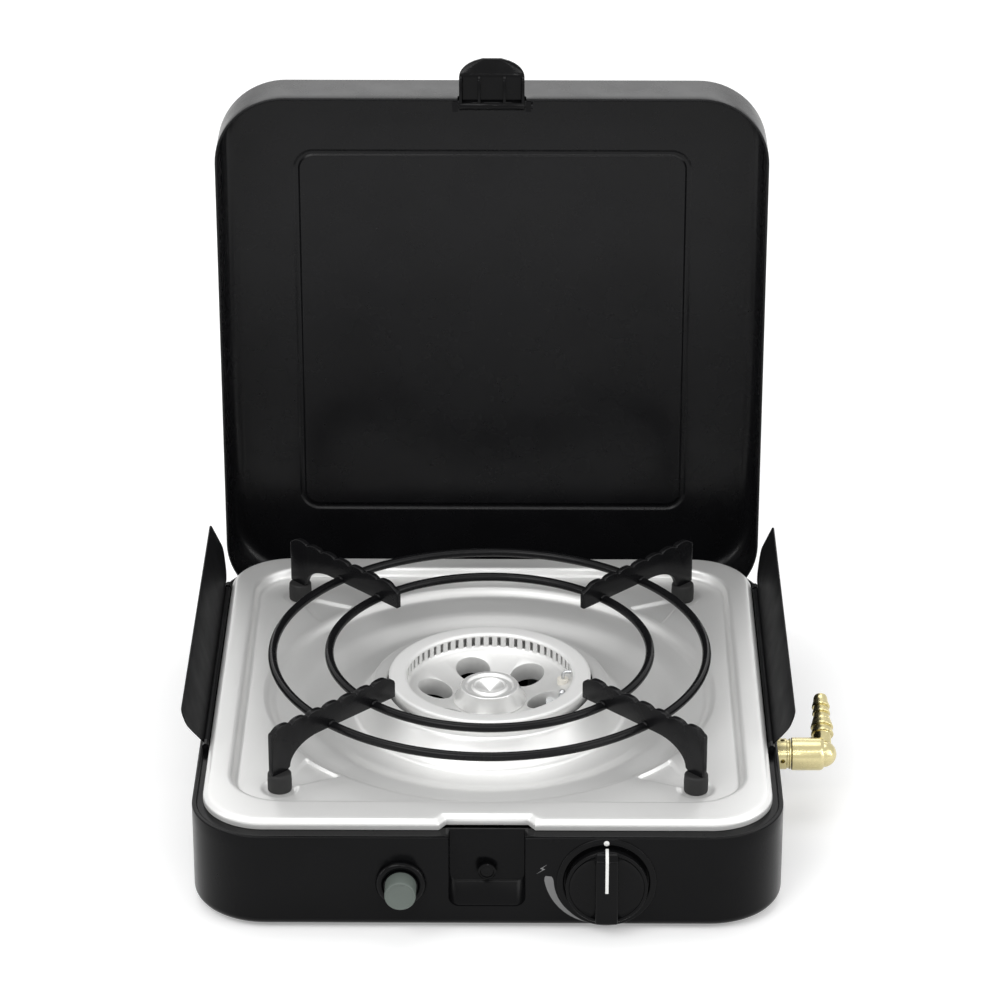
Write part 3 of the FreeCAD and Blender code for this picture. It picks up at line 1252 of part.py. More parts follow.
def inlet_union():
    collar = cylinder("dims.union_radius", "dims.union_reach", HALF_WIDTH, *INLET_LINE, along="X")
    thread = cylinder("dims.inlet_thread_radius", "10", HALF_WIDTH + " - 10", *INLET_LINE, along="X")
    tail = cylinder("dims.pipe_radius + 2", "22", HALF_WIDTH + " - 22", *INLET_LINE, along="X")
    socket = cylinder("dims.swivel_stem_radius + dims.spindle_clearance", "dims.union_reach + 4",
                      HALF_WIDTH, *INLET_LINE, along="X")
    gas_way = cylinder("dims.pipe_radius - 1", "40", HALF_WIDTH + " - 30", *INLET_LINE, along="X")
    cross = cylinder("1.2", "20", HALF_WIDTH + " + 4.5", "-dims.inlet_forward - 15", "dims.inlet_height", "Y")
    groove = cut(cylinder("dims.union_radius + 2", "1.2", HALF_WIDTH + " + 6.8", *INLET_LINE, along="X"),
                 cylinder("dims.union_radius - 0.6", "6", HALF_WIDTH + " + 4", *INLET_LINE, along="X"))
    return cut(fuse(collar, thread, tail), socket, gas_way, cross, groove)


def hose_elbow():
    stem = cylinder("dims.swivel_stem_radius", "dims.union_reach + dims.swivel_gap - 1.5",
                    HALF_WIDTH + " + 1.5", *INLET_LINE, along="X")
    barrel = cylinder("dims.swivel_radius", "dims.swivel_length", SWIVEL_START, *INLET_LINE, along="X")
    ball = doc.addObject("Part::Sphere", fresh_name("ball"))
    bind(ball, Radius="dims.swivel_radius - 1.7")
    place(ball, SWIVEL_END, *INLET_LINE)
    land = "dims.barb_radius"
    rib = "dims.barb_rib_radius"
    points = [("0", "0"), (land, "0"), (land, "dims.tail_neck_length")]
    for index in range(int(size("barb_rib_count"))):
        start = "(dims.tail_neck_length + %d * dims.rib_pitch)" % index
        points += [(rib, start), (rib, start + " + dims.rib_land"), (land, start + " + dims.rib_pitch")]
    points += [(land, "dims.barb_length - 1"), (land + " - 1", "dims.barb_length"),
               ("0", "dims.barb_length")]
    tail = revolved(points)
    place(tail, SWIVEL_END, *INLET_LINE, (1, 0, 0), size("barb_tilt") - 90)
    tail.setExpression("Placement.Rotation.Angle", "dims.barb_tilt - 90")
    gas_way = cylinder("2", "dims.barb_length + 2", "0", "0", "0")
    place(gas_way, SWIVEL_END, *INLET_LINE, (1, 0, 0), size("barb_tilt") - 90)
    gas_way.setExpression("Placement.Rotation.Angle", "dims.barb_tilt - 90")
    through = cylinder("1.6", "dims.swivel_length + dims.union_reach + 0.6", HALF_WIDTH + " + 0.5",
                       *INLET_LINE, along="X")
    return cut(fuse(stem, barrel, ball, tail), gas_way, through)


node("inlet_union", inlet_union())
node("inlet_nut", cut(hexagon("17", "4", HALF_WIDTH + " - dims.base_wall - 4", *INLET_LINE, along="X"),
                      cylinder("dims.inlet_thread_radius", "10", HALF_WIDTH + " - 10",
                               *INLET_LINE, along="X")))
node("hose_elbow", hose_elbow())

# Every object has to be sound before its file is written.
doc.recompute()
for item in doc.Objects:
    if {"Invalid", "Error"} & set(item.State):
        raise ValueError("%s did not build" % item.Label)
for name, feature in parts.items():
    shape = feature.Shape
    if shape.isNull() or not shape.isValid() or not shape.Solids:
        raise ValueError("%s is not a sound solid" % name)
    shape.exportStep("parts/%s.step" % name)
    print("%s: %d solids, %.1f mm3" % (name, len(shape.Solids), shape.Volume))
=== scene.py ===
"""Looks of the single burner gas stove: camera, light, finishes and the detailed pieces.

Lengths in the tables are millimetres in the shared frame; meshes are made in metres.
"""
import bpy
import bmesh
import math
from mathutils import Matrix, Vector
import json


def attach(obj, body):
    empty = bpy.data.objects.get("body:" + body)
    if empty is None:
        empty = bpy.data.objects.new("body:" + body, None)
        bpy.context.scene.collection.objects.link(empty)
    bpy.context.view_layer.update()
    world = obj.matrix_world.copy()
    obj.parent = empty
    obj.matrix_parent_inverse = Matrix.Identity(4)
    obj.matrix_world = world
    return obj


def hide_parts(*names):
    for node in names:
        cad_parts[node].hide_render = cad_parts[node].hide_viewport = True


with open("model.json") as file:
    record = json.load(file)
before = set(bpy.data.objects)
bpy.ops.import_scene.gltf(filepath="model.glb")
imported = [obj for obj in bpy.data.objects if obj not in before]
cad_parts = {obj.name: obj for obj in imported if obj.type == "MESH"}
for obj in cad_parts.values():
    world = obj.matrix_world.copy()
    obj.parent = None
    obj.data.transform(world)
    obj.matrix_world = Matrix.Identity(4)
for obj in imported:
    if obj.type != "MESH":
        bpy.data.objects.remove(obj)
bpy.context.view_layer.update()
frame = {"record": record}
MM = 0.001

# Hinge lines as (y, z), then the burner's axis, the gas inlet under its cup and the flame sensor as (x, y).
HINGE = (138.7, 37.6)
LATCH_PIVOT = (157.6, 325.8)
BURNER = (0.0, 3.0)
CUP_INLET = (36, -30.4)
SENSOR = (38.5, -7)

# Casing and lid in plan. The lid ends 2 mm short of the casing's rear.
HALF_WIDTH, HALF_DEPTH, CORNER = 150, 154, 38
FRONT = -HALF_DEPTH
LID_HALF_DEPTH, LID_MIDDLE = 153, -1
RIM, WALL = 54, 2.5

# Middles of the front controls and of the dot above the knob as (x, z), and of the gas inlet as (y, z).
KNOB, IGNITER, STUD, INDEX_DOT, INLET = (60.0, 29.0), (-43.2, 28.0), (0, 31), (59.8, 51.9), (-30.0, 33.0)


# Camera.
def place_camera():
    data = bpy.data.cameras.new("view")
    data.lens = 150.15
    data.sensor_width = 36
    data.sensor_fit = "HORIZONTAL"
    data.clip_end = 20
    camera = bpy.data.objects.new("view", data)
    bpy.context.scene.collection.objects.link(camera)
    target = Vector((5.5, 0.0, 166.8)) * MM
    up, turn, away = math.radians(26.0), math.radians(0.4), 2169.4 * MM
    step = Vector((math.sin(turn) * math.cos(up), -math.cos(turn) * math.cos(up), math.sin(up)))
    camera.location = target + step * away
    camera.rotation_euler = (-step).to_track_quat("-Z", "Y").to_euler()
    bpy.context.scene.camera = camera


place_camera()


# Materials.
class Shader:
    """A small wrapper that adds and joins the nodes of one material."""

    def __init__(self, name, colour, metallic=0.0, roughness=0.5, **sockets):
        self.material = bpy.data.materials.new(name)
        self.material.use_nodes = True
        self.material.diffuse_color = (*colour, 1)
        self.tree = self.material.node_tree
        self.surface = self.tree.nodes["Principled BSDF"]
        self.surface.inputs["Base Color"].default_value = (*colour, 1)
        self.surface.inputs["Metallic"].default_value = metallic
        self.surface.inputs["Roughness"].default_value = roughness
        for key, value in sockets.items():
            self.surface.inputs[key.replace("_", " ")].default_value = value
        self.place = self.node("ShaderNodeTexCoord").outputs["Object"]
        self.height = None

    def node(self, kind, **settings):
        made = self.tree.nodes.new(kind)
        for key, value in settings.items():
            setattr(made, key, value)
        return made

    def join(self, out, into):
        self.tree.links.new(out, into)

    def noise(self, scale, stretch=(1, 1, 1), detail=3.0, rough=0.5):
        mapping = self.node("ShaderNodeMapping")
        mapping.inputs["Scale"].default_value = stretch
        self.join(self.place, mapping.inputs["Vector"])
        texture = self.node("ShaderNodeTexNoise")
        texture.inputs["Scale"].default_value = scale
        texture.inputs["Detail"].default_value = detail
        texture.inputs["Roughness"].default_value = rough
        self.join(mapping.outputs["Vector"], texture.inputs["Vector"])
        return texture.outputs["Fac"]

    def spread(self, value, low, high):
        ranged = self.node("ShaderNodeMapRange")
        ranged.inputs["From Min"].default_value = 0.3
        ranged.inputs["From Max"].default_value = 0.7
        ranged.inputs["To Min"].default_value = low
        ranged.inputs["To Max"].default_value = high
        self.join(value, ranged.inputs["Value"])
        return ranged.outputs["Result"]

    def roughness(self, value, low, high):
        self.join(self.spread(value, low, high), self.surface.inputs["Roughness"])
        return self

    def colours(self, value, first, second, low=0.35, high=0.65):
        ramp = self.node("ShaderNodeValToRGB")
        ramp.color_ramp.elements[0].position = low
        ramp.color_ramp.elements[0].color = (*first, 1)
        ramp.color_ramp.elements[1].position = high
        ramp.color_ramp.elements[1].color = (*second, 1)
        self.join(value, ramp.inputs["Fac"])
        self.join(ramp.outputs["Color"], self.surface.inputs["Base Color"])
        return self

    def bump(self, value, depth_mm, strength=1.0):
        relief = self.node("ShaderNodeBump")
        relief.inputs["Strength"].default_value = strength
        relief.inputs["Distance"].default_value = depth_mm * MM
        self.join(value, relief.inputs["Height"])
        if self.height:
            self.join(self.height, relief.inputs["Normal"])
        self.height = relief.outputs["Normal"]
        self.join(self.height, self.surface.inputs["Normal"])
        return self


def powder_coat(name, tone, low, high, gloss, grain=900):
    paint = Shader(name, tone, 0.0, 0.4, Specular_IOR_Level=gloss)
    paint.roughness(paint.noise(60, detail=4), low, high)
    paint.colours(paint.noise(25, detail=5), tone, tuple(1.25 * c for c in tone))
    paint.bump(paint.noise(grain, detail=2), 0.02)
    return paint.material


def brushed(name, tone, low, high, stretch, depth=0.006, scale=260, metallic=1.0):
    metal = Shader(name, tone, metallic, 0.3)
    lines = metal.noise(scale, stretch=stretch, detail=6, rough=0.6)
    metal.roughness(lines, low, high)
    metal.colours(metal.noise(7, detail=4), tuple(0.95 * c for c in tone), tone)
    metal.bump(lines, depth)
    return metal.material


def moulded(name, tone, low, high, grain=700, depth=0.012, gloss=0.25):
    plastic = Shader(name, tone, 0.0, 0.35, Specular_IOR_Level=gloss)
    plastic.roughness(plastic.noise(90, detail=3), low, high)
    plastic.colours(plastic.noise(40, detail=3), tuple(0.9 * c for c in tone), tone)
    plastic.bump(plastic.noise(grain, detail=2), depth)
    return plastic.material


# A wave texture draws about this many rings to the unit of its scale.
WAVE_RINGS = 3.2


def turned_metal(name, tone, centre, pitch_mm, low=0.18, high=0.32):
    """Bright metal with fine rings left by the lathe about a vertical axis."""
    metal = Shader(name, tone, 0.5, 0.25)
    mapping = metal.node("ShaderNodeMapping")
    mapping.inputs["Location"].default_value = (-centre[0] * MM, -centre[1] * MM, 0)
    mapping.inputs["Scale"].default_value = (1, 1, 0)
    metal.join(metal.place, mapping.inputs["Vector"])
    rings = metal.node("ShaderNodeTexWave", wave_type="RINGS", rings_direction="SPHERICAL")
    rings.inputs["Scale"].default_value = 1 / (pitch_mm * MM) / WAVE_RINGS
    rings.inputs["Distortion"].default_value = 0.4
    rings.inputs["Detail"].default_value = 2
    metal.join(mapping.outputs["Vector"], rings.inputs["Vector"])
    metal.roughness(metal.noise(120, detail=4), low, high)
    metal.bump(rings.outputs["Fac"], 0.004, 0.4)
    return metal.material


BLACK = powder_coat("black_powder_coat", (0.003, 0.003, 0.0033), 0.20, 0.28, 0.085)
LINING = powder_coat("black_lid_coat", (0.004, 0.004, 0.0045), 0.22, 0.30, 0.17)
SATIN = powder_coat("black_satin_coat", (0.006, 0.006, 0.0065), 0.42, 0.52, 0.10)
ENAMEL = powder_coat("black_enamel", (0.005, 0.005, 0.0055), 0.20, 0.30, 0.15, grain=500)
STEEL = brushed("satin_stainless", (0.80, 0.80, 0.79), 0.34, 0.44, (1, 14, 1), metallic=0.5)
ALLOY = brushed("burner_alloy", (0.76, 0.76, 0.75), 0.36, 0.44, (1, 1, 1), 0.0015, 500, metallic=0.5)
TURNED = turned_metal("turned_alloy", (0.86, 0.86, 0.85), BURNER, 1.4, 0.25, 0.27)
TRIM = brushed("trim_alloy", (0.86, 0.86, 0.85), 0.30, 0.40, (1, 1, 1), 0.001, 400, metallic=0.2)
# Dark rough casting for the burner's gas channel, which is also painted shade: it darkens the recess seen through
# the flame slots.
CAST_PAINTED_SHADE = brushed("rough_casting_painted_shade", (0.05, 0.05, 0.05), 0.6, 0.8, (1, 1, 1), 0.01, 300, metallic=0.0)
ZINC = brushed("zinc_plate", (0.58, 0.59, 0.60), 0.28, 0.42, (1, 1, 1), 0.006, 300)
GOLD = brushed("yellow_zinc", (0.60, 0.53, 0.29), 0.18, 0.32, (1, 1, 1), 0.008, 160)
BRASS = brushed("brass", (0.72, 0.56, 0.28), 0.26, 0.4, (1, 1, 1), 0.006, 200)
RUBBER = moulded("black_rubber", (0.02, 0.02, 0.02), 0.55, 0.75, 500, 0.03)
PLASTIC = moulded("black_plastic", (0.003, 0.003, 0.0033), 0.11, 0.18, gloss=0.10)
BUTTON = moulded("grey_green_plastic", (0.115, 0.135, 0.122), 0.34, 0.46)
WHITE = moulded("white_print", (0.82, 0.82, 0.80), 0.4, 0.5)
PRINT = moulded("grey_print", (0.18, 0.18, 0.18), 0.45, 0.55)
CERAMIC = moulded("white_ceramic", (0.80, 0.77, 0.70), 0.3, 0.45, 300, 0.02)


# Mesh helpers. Points come in millimetres.
def piece(name, verts, faces, material, body, slot, smooth=38):
    mesh = bpy.data.meshes.new(name)
    mesh.from_pydata([(x * MM, y * MM, z * MM) for x, y, z in verts], [], faces)
    work = bmesh.new()
    work.from_mesh(mesh)
    bmesh.ops.recalc_face_normals(work, faces=work.faces)
    work.to_mesh(mesh)
    work.free()
    thing = bpy.data.objects.new(name, mesh)
    bpy.context.scene.collection.objects.link(thing)
    mesh.materials.append(material)
    soften(thing, smooth)
    thing["wanted_body"] = body
    return thing


def soften(thing, angle):
    thing.data.polygons.foreach_set("use_smooth", [True] * len(thing.data.polygons))
    thing.data.set_sharp_from_angle(angle=math.radians(angle))


def apply_modifiers(thing):
    bpy.context.view_layer.update()
    shape = bpy.data.meshes.new_from_object(thing.evaluated_get(bpy.context.evaluated_depsgraph_get()))
    thing.modifiers.clear()
    thing.data = shape


def bevel(thing, width, segments=2, limit=40, smooth=38):
    edge = thing.modifiers.new("edge", "BEVEL")
    edge.width = width * MM
    edge.segments = segments
    edge.limit_method = "ANGLE"
    edge.angle_limit = math.radians(limit)
    edge.harden_normals = False
    apply_modifiers(thing)
    soften(thing, smooth)
    return thing


def carve(thing, *cutters, operation="DIFFERENCE"):
    for other in cutters:
        step = thing.modifiers.new("carve", "BOOLEAN")
        step.operation = operation
        step.solver = "EXACT"
        step.object = other
        apply_modifiers(thing)
        bpy.data.objects.remove(other)
    return thing


def cutter(verts, faces):
    """A passing shape that a piece is cut or joined with."""
    return piece("cutter", verts, faces, BLACK, "stove", "black_paint")


def done(thing, *nodes):
    """Stand a finished piece on its body, in place of the solids that it stands for."""
    if nodes:
        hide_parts(*nodes)
    body = thing["wanted_body"]
    del thing["wanted_body"]
    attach(thing, body)
    return thing


def smooth_step(t):
    """0 below t = 0, 1 above t = 1, and an even rise between them."""
    t = min(max(t, 0), 1)
    return t * t * (3 - 2 * t)


def loft(rings, caps=True):
    """Vertices and faces that join closed rings of equal length."""
    count = len(rings[0])
    verts = [point for ring in rings for point in ring]
    faces = []
    for row in range(len(rings) - 1):
        for k in range(count):
            a, b = row * count + k, row * count + (k + 1) % count
            faces.append((a, b, b + count, a + count))
    if caps:
        faces.append(tuple(range(count))[::-1])
        faces.append(tuple(range(len(verts) - count, len(verts))))
    return verts, faces


def rounded(half_x, half_y, corner, z, centre_y, arc, side):
    """A rounded rectangle in so many steps per corner and side, whatever its size."""
    points = []
    corner = max(corner, 0.01)
    for quarter, (sx, sy) in enumerate(((1, 1), (-1, 1), (-1, -1), (1, -1))):
        cx, cy = sx * (half_x - corner), sy * (half_y - corner)
        for k in range(arc + 1):
            angle = math.pi / 2 * (quarter + k / arc)
            points.append((cx + corner * math.cos(angle), cy + corner * math.sin(angle)))
        following = ((-1, 1), (-1, -1), (1, -1), (1, 1))[quarter]
        end = points[-1]
        start_angle = math.pi / 2 * (quarter + 1)
        nx = following[0] * (half_x - corner) + corner * math.cos(start_angle)
        ny = following[1] * (half_y - corner) + corner * math.sin(start_angle)
        for k in range(1, side):
            t = k / side
            points.append((end[0] + (nx - end[0]) * t, end[1] + (ny - end[1]) * t))
    return [(x, y + centre_y, z) for x, y in points]


def revolve(profile, centre=(0, 0), count=160, axis="Z", closed_profile=True):
    """Turn (radius, height) points about an axis through centre."""
    rings = []
    for k in range(count):
        angle = 2 * math.pi * k / count
        ring = []
        for radius, height in profile:
            a, b = radius * math.cos(angle), radius * math.sin(angle)
            if axis == "Z":
                ring.append((centre[0] + a, centre[1] + b, height))
            elif axis == "Y":
                ring.append((centre[0] + a, height, centre[1] + b))
            else:
                ring.append((height, centre[0] + a, centre[1] + b))
        rings.append(ring)
    size = len(profile)
    verts = [point for ring in rings for point in ring]
    faces = []
    for k in range(count):
        after = (k + 1) % count
        for j in range(size if closed_profile else size - 1):
            nxt = (j + 1) % size
            faces.append((k * size + j, after * size + j, after * size + nxt, k * size + nxt))
    return verts, faces


def arc_points(cx, cy, radius, start, end, steps):
    """Points on an arc between two angles in degrees, both ends with it."""
    return [(cx + radius * math.cos(math.radians(start + (end - start) * k / steps)),
             cy + radius * math.sin(math.radians(start + (end - start) * k / steps))) for k in range(steps + 1)]


def tidy_profile(points):
    """Drop repeated neighbours, so that a turned profile has no flat faces of no size."""
    kept = []
    for point in points:
        if not kept or math.dist(point, kept[-1]) > 1e-4:
            kept.append(point)
    if math.dist(kept[0], kept[-1]) < 1e-4:
        kept.pop()
    return kept


def rectangle(x0, y0, x1, y1):
    return [(x0, y0), (x1, y0), (x1, y1), (x0, y1)]


def extruded(outline, low, high, plane):
    """A flat outline given thickness; plane names the outline's two axes."""
    lift = {"XY": lambda a, b, c: (a, b, c), "XZ": lambda a, b, c: (a, c, b), "YZ": lambda a, b, c: (c, a, b)}[plane]
    count = len(outline)
    verts = [lift(a, b, low) for a, b in outline] + [lift(a, b, high) for a, b in outline]
    faces = [tuple(range(count))[::-1], tuple(range(count, 2 * count))]
    faces += [(k, (k + 1) % count, count + (k + 1) % count, count + k) for k in range(count)]
    return verts, faces


def smooth_curve(points, per):
    """A smooth open line through plane points, with so many steps between neighbours."""
    points = [Vector((*point, 0)) for point in points]
    ends = [points[0]] + points + [points[-1]]
    line = []
    for k in range(1, len(ends) - 2):
        p0, p1, p2, p3 = ends[k - 1:k + 3]
        for step in range(per):
            t = step / per
            line.append(0.5 * ((2 * p1) + (p2 - p0) * t + (2 * p0 - 5 * p1 + 4 * p2 - p3) * t * t
                               + (3 * p1 - p0 - 3 * p2 + p3) * t ** 3))
    return [tuple(point)[:2] for point in line + [points[-1]]]


def open_lid(x, y, z):
    return (x, HINGE[0] + (z - HINGE[1]), HINGE[1] - (y - HINGE[0]))


# Lid: a drawn sheet shell with a rounded square bead, built closed and then stood up.
LID_TOP, LID_SHEET, LID_EDGE, LIP_LEVEL = 91.9, 1.5, 10, 55.15
BEAD_HALF, BEAD_CORNER, INNER_DEPTH = 105.9, 7.5, 1.6
# The bead across: distance out from its inner edge, and rise of the outer face.
BEAD = [(-5, 0), (-0.5, 0), (0, 0), (0.3, 0.08), (1.0, 0.53), (1.4, 0.6), (2.6, 0.6), (3.0, 0.53), (3.7, 0.08),
        (4.0, 0), (4.5, 0), (9, 0)]
# Where the latch's ears pass the front wall, as (x, z).
LID_NOTCH = [(-18.5, 50), (18.5, 50), (18.5, 57.6), (18.0, 58.9), (16.8, 59.6), (-16.8, 59.6), (-18.0, 58.9),
             (-18.5, 57.6)]


def lid():
    def wall_ring(inset, z):
        return rounded(HALF_WIDTH - inset, LID_HALF_DEPTH - inset, CORNER - inset, z, LID_MIDDLE, 18, 10)

    def bead_ring(out, z):
        half = BEAD_HALF + out
        return rounded(half, half, BEAD_CORNER + out, z, LID_MIDDLE, 18, 10)

    bend, straight = LID_TOP - LID_EDGE, 60
    inside = arc_points(LID_EDGE, bend, LID_EDGE - LID_SHEET, 90, 180, 8) + [(LID_SHEET, straight)]
    lip = arc_points(LID_SHEET / 2, LIP_LEVEL, LID_SHEET / 2, 360, 180, 6)
    outside = [(0, straight)] + arc_points(LID_EDGE, bend, LID_EDGE, 180, 90, 8)
    rings = [bead_ring(out, LID_TOP - LID_SHEET + INNER_DEPTH * rise) for out, rise in BEAD]
    rings += [wall_ring(inset, z) for inset, z in inside + lip + outside]
    rings += [bead_ring(out, LID_TOP + rise) for out, rise in reversed(BEAD)]
    shell = piece("lid_shell", *loft(rings), LINING, "lid", "black_paint")
    carve(shell, cutter(*extruded(LID_NOTCH, -156, -150.5, "XZ")))
    soften(shell, 38)
    for vert in shell.data.vertices:
        x, y, z = (c / MM for c in vert.co)
        vert.co = [c * MM for c in open_lid(x, y, z)]
    done(shell, "lid")


lid()


# Casing: outer wall, rounded foot and rim, inner shelf and floor in one closed form.
FRONT_BEND, REAR_BEND, BEND_FROM, BEND_OVER = 0.5, 6, 112, 34
SHELF_TOP, SHELF_LOW, SHELF_INSET = 53.2, 48, 11.5
UNDERSIDE, FLOOR_TOP, FOOT_BEND = 2.5, 4.5, 5
VENT_ROWS, VENT_PITCH, VENT_HALF, VENT_RADIUS = 5, 12, 20.5, 2.5
VENT_X, VENT_Y = 62, 10
POCKET_HALF, POCKET_LOW, POCKET_TOP, POCKET_BACK = 20.7, 13.2, 53.4, -142.6
# The latch recess from the front inwards, as (y, half width, lower edge, corner).
RECESS = [(-157, 19.35, 14.4, 5.5), (-153.6, 19.35, 14.6, 5.5), (-152.4, 19.2, 15.0, 5.2),
          (-145.2, 18.9, 23.4, 4.0), (-144.3, 18.6, 24.3, 3.6), (-144, 18.0, 25.2, 3.0)]
STRAP_X, STRAP_HALF, STRAP_FRONT, STRAP_REAR, STRAP_LOW, STRAP_HIGH = 85, 11, 148.9, 158, 23.7, 58


def rim_height(y, inset):
    """The rim's top: barely rounded in front, well rounded at the rear."""
    front = RIM - FRONT_BEND + math.sqrt(max(FRONT_BEND ** 2 - (FRONT_BEND - min(inset, FRONT_BEND)) ** 2, 0))
    back = RIM - REAR_BEND + math.sqrt(max(REAR_BEND ** 2 - (REAR_BEND - inset) ** 2, 0))
    return front + (min(back, RIM) - front) * smooth_step((y - BEND_FROM) / BEND_OVER)


def recess_ring(y, half, low, corner):
    """The latch recess at one depth: open at the top, its lower corners rounded."""
    right = [(half - corner + a, y, low + corner + b) for a, b in arc_points(0, 0, corner, -90, 0, 8)]
    left = [(-x, y, z) for x, _, z in reversed(right)]
    return right + [(half, y, 62), (-half, y, 62)] + left


def bored(radius, low, high, centre, axis):
    """A plain round cutter along an axis."""
    return cutter(*revolve(rectangle(0, low, radius, high), centre, 48, axis))


def casing():
    def ring(inset, z):
        return rounded(HALF_WIDTH - inset, HALF_DEPTH - inset, CORNER - inset, z, 0, 20, 12)

    foot = arc_points(FOOT_BEND, UNDERSIDE + FOOT_BEND, FOOT_BEND, 270, 180, 6)
    rings = [ring(70, UNDERSIDE)] + [ring(inset, z) for inset, z in foot] + [ring(0, 46)]
    for inset in (0, 0.06, 0.2, 0.5, 1.1, 1.9, WALL):
        rings.append([(x, y, rim_height(y, inset)) for x, y, _ in ring(inset, 0)])
    shelf = [(WALL, SHELF_TOP + 0.3), (WALL + 0.3, SHELF_TOP), (SHELF_INSET - 0.3, SHELF_TOP),
             (SHELF_INSET, SHELF_TOP - 0.3), (SHELF_INSET, SHELF_LOW + 0.3), (SHELF_INSET - 0.3, SHELF_LOW)]
    inside = [(2.6, SHELF_LOW), (WALL, SHELF_LOW - 0.5), (WALL, 6), (3.5, FLOOR_TOP), (70, FLOOR_TOP)]
    rings += [ring(inset, z) for inset, z in shelf + inside]
    body = piece("casing_shell", *loft(rings), BLACK, "stove", "black_paint")

    # The latch recess: a pocket behind the front wall, hollowed out from the front.
    pocket = rectangle(-POCKET_HALF, POCKET_LOW, POCKET_HALF, POCKET_TOP)
    carve(body, cutter(*extruded(pocket, FRONT + 0.8, POCKET_BACK, "XZ")), operation="UNION")
    cutters = [cutter(*loft([recess_ring(*step) for step in RECESS]))]

    # Holes for the valve, the igniter, the latch stud and the gas inlet.
    for radius, centre, depth in ((6.3, KNOB, 6), (8.8, IGNITER, 6), (2.5, STUD, 14)):
        cutters.append(bored(radius, FRONT - 4, FRONT + depth, centre, "Y"))
    cutters.append(bored(6.8, HALF_WIDTH - 5, HALF_WIDTH + 6, INLET, "X"))

    # Slots for the hinge straps, and vents in the floor.
    for side in (-1, 1):
        strap = rectangle(side * STRAP_X - STRAP_HALF, STRAP_FRONT, side * STRAP_X + STRAP_HALF, STRAP_REAR)
        cutters.append(cutter(*extruded(strap, STRAP_LOW, STRAP_HIGH, "XY")))
        for row in range(VENT_ROWS):
            y = (row - VENT_ROWS // 2) * VENT_PITCH + VENT_Y
            outline = (arc_points(side * VENT_X + VENT_HALF, y, VENT_RADIUS, -90, 90, 12)
                       + arc_points(side * VENT_X - VENT_HALF, y, VENT_RADIUS, 90, 270, 12))
            cutters.append(cutter(*extruded(outline, 0, 8, "XY")))
    carve(body, *cutters)
    bevel(body, 0.35, 2, 48, 35)
    done(body, "base_casing")


casing()


# Cooktop: one pressed sheet, drawn as rings about the burner from its hole out to the flange.
WELL_TOP, FIELD = 58.5, 53.5
TRAY_HALF, TRAY_FRONT, TRAY_BACK, TRAY_CORNER, TRAY_BEND = 144.5, -144.8, 148.5, 32.5, 3
FIELD_HALF, FIELD_FRONT, FIELD_BACK, FIELD_CORNER = 129.5, -122.5, 133.5, 26
NOTCH_HALF, NOTCH_DEPTH, NOTCH_SLOPE = 20.6, 5.3, 3.6
BOWL_EDGE, FOOT_CIRCLE = 120.6, 150
DIMPLE_RADIUS, DIMPLE_SLOPE, DIMPLE_DEPTH = 9.6, 1.8, 0.8
# Four channels run out to the feet and taper off from half width 16 to 4 mm.
CHANNEL_START, CHANNEL_END, CHANNEL_FADE, CHANNEL_DEPTH, CHANNEL_SLOPE = 108, 146, 3, 1.5, 2.4
TAPER_START, TAPER_LENGTH, WIDE_HALF, NARROW_HALF = 112, 31, 16, 4
# The bowl from its collar out to the field, as (radius, height).
BOWL = [(55.0, 56.6), (55.1, 57.3), (55.6, 57.8), (56.4, 58.0), (60.6, 58.0), (61.8, 57.7), (62.6, 57.0),
        (63.3, 55.8), (66.4, 51.0), (69.6, 46.2), (70.7, 44.7), (71.8, 43.7), (73.4, 43.1), (75.5, 43.0),
        (84.5, 43.0), (86.5, 43.15), (88.5, 43.7), (92, 45.1), (96, 46.7), (98.5, 47.6), (101, 48.0),
        (107, 48.4), (112.6, 48.9), (114.2, 49.2), (115.4, 50.0), (116.6, 51.4), (117.8, 52.7), (119.0, 53.35),
        (BOWL_EDGE, FIELD)]
# The step from the field up to the rim, as (distance out, height).
STEP = [(-1.4, 53.55), (-0.7, 53.8), (-0.2, 54.3), (0.3, 55.3), (0.9, 56.9), (1.3, 57.7), (1.9, 58.2),
        (2.8, 58.45), (4.0, WELL_TOP)]


def outline_reach(angle, half_x, low_y, high_y, corner, notched=0.0):
    """How far the rounded rectangle's edge lies from the burner's centre in a direction."""
    dx, dy = math.cos(angle), math.sin(angle)
    middle, half_y = (low_y + high_y) / 2, (high_y - low_y) / 2
    low, high = 60.0, 260.0
    for _ in range(40):
        reach = (low + high) / 2
        x, y = dx * reach, BURNER[1] + dy * reach - middle
        qx, qy = abs(x) - (half_x - corner), abs(y) - (half_y - corner)
        outside = math.hypot(max(qx, 0), max(qy, 0)) + min(max(qx, qy), 0) - corner > 0
        past = low_y + NOTCH_DEPTH - (BURNER[1] + dy * reach)
        if notched and past > 0 and abs(x) < NOTCH_HALF + notched + NOTCH_SLOPE * past / NOTCH_DEPTH:
            outside = True
        if outside:
            high = reach
        else:
            low = reach
    return (low + high) / 2


def pressed_relief(x, y):
    """How far the sheet is pressed down at a point of the field."""
    bx, by = abs(x), abs(y - BURNER[1])
    along, aside = (bx + by) / math.sqrt(2), abs(bx - by) / math.sqrt(2)
    dimple = DIMPLE_DEPTH * smooth_step((DIMPLE_RADIUS - math.hypot(along - FOOT_CIRCLE, aside)) / DIMPLE_SLOPE)
    if not CHANNEL_START < along < CHANNEL_END:
        return dimple
    half = WIDE_HALF + (NARROW_HALF - WIDE_HALF) * (along - TAPER_START) / TAPER_LENGTH
    end = min((CHANNEL_END - along) / CHANNEL_FADE, 1)
    return max(dimple, CHANNEL_DEPTH * smooth_step((half + 0.6 - aside) / CHANNEL_SLOPE) * end)


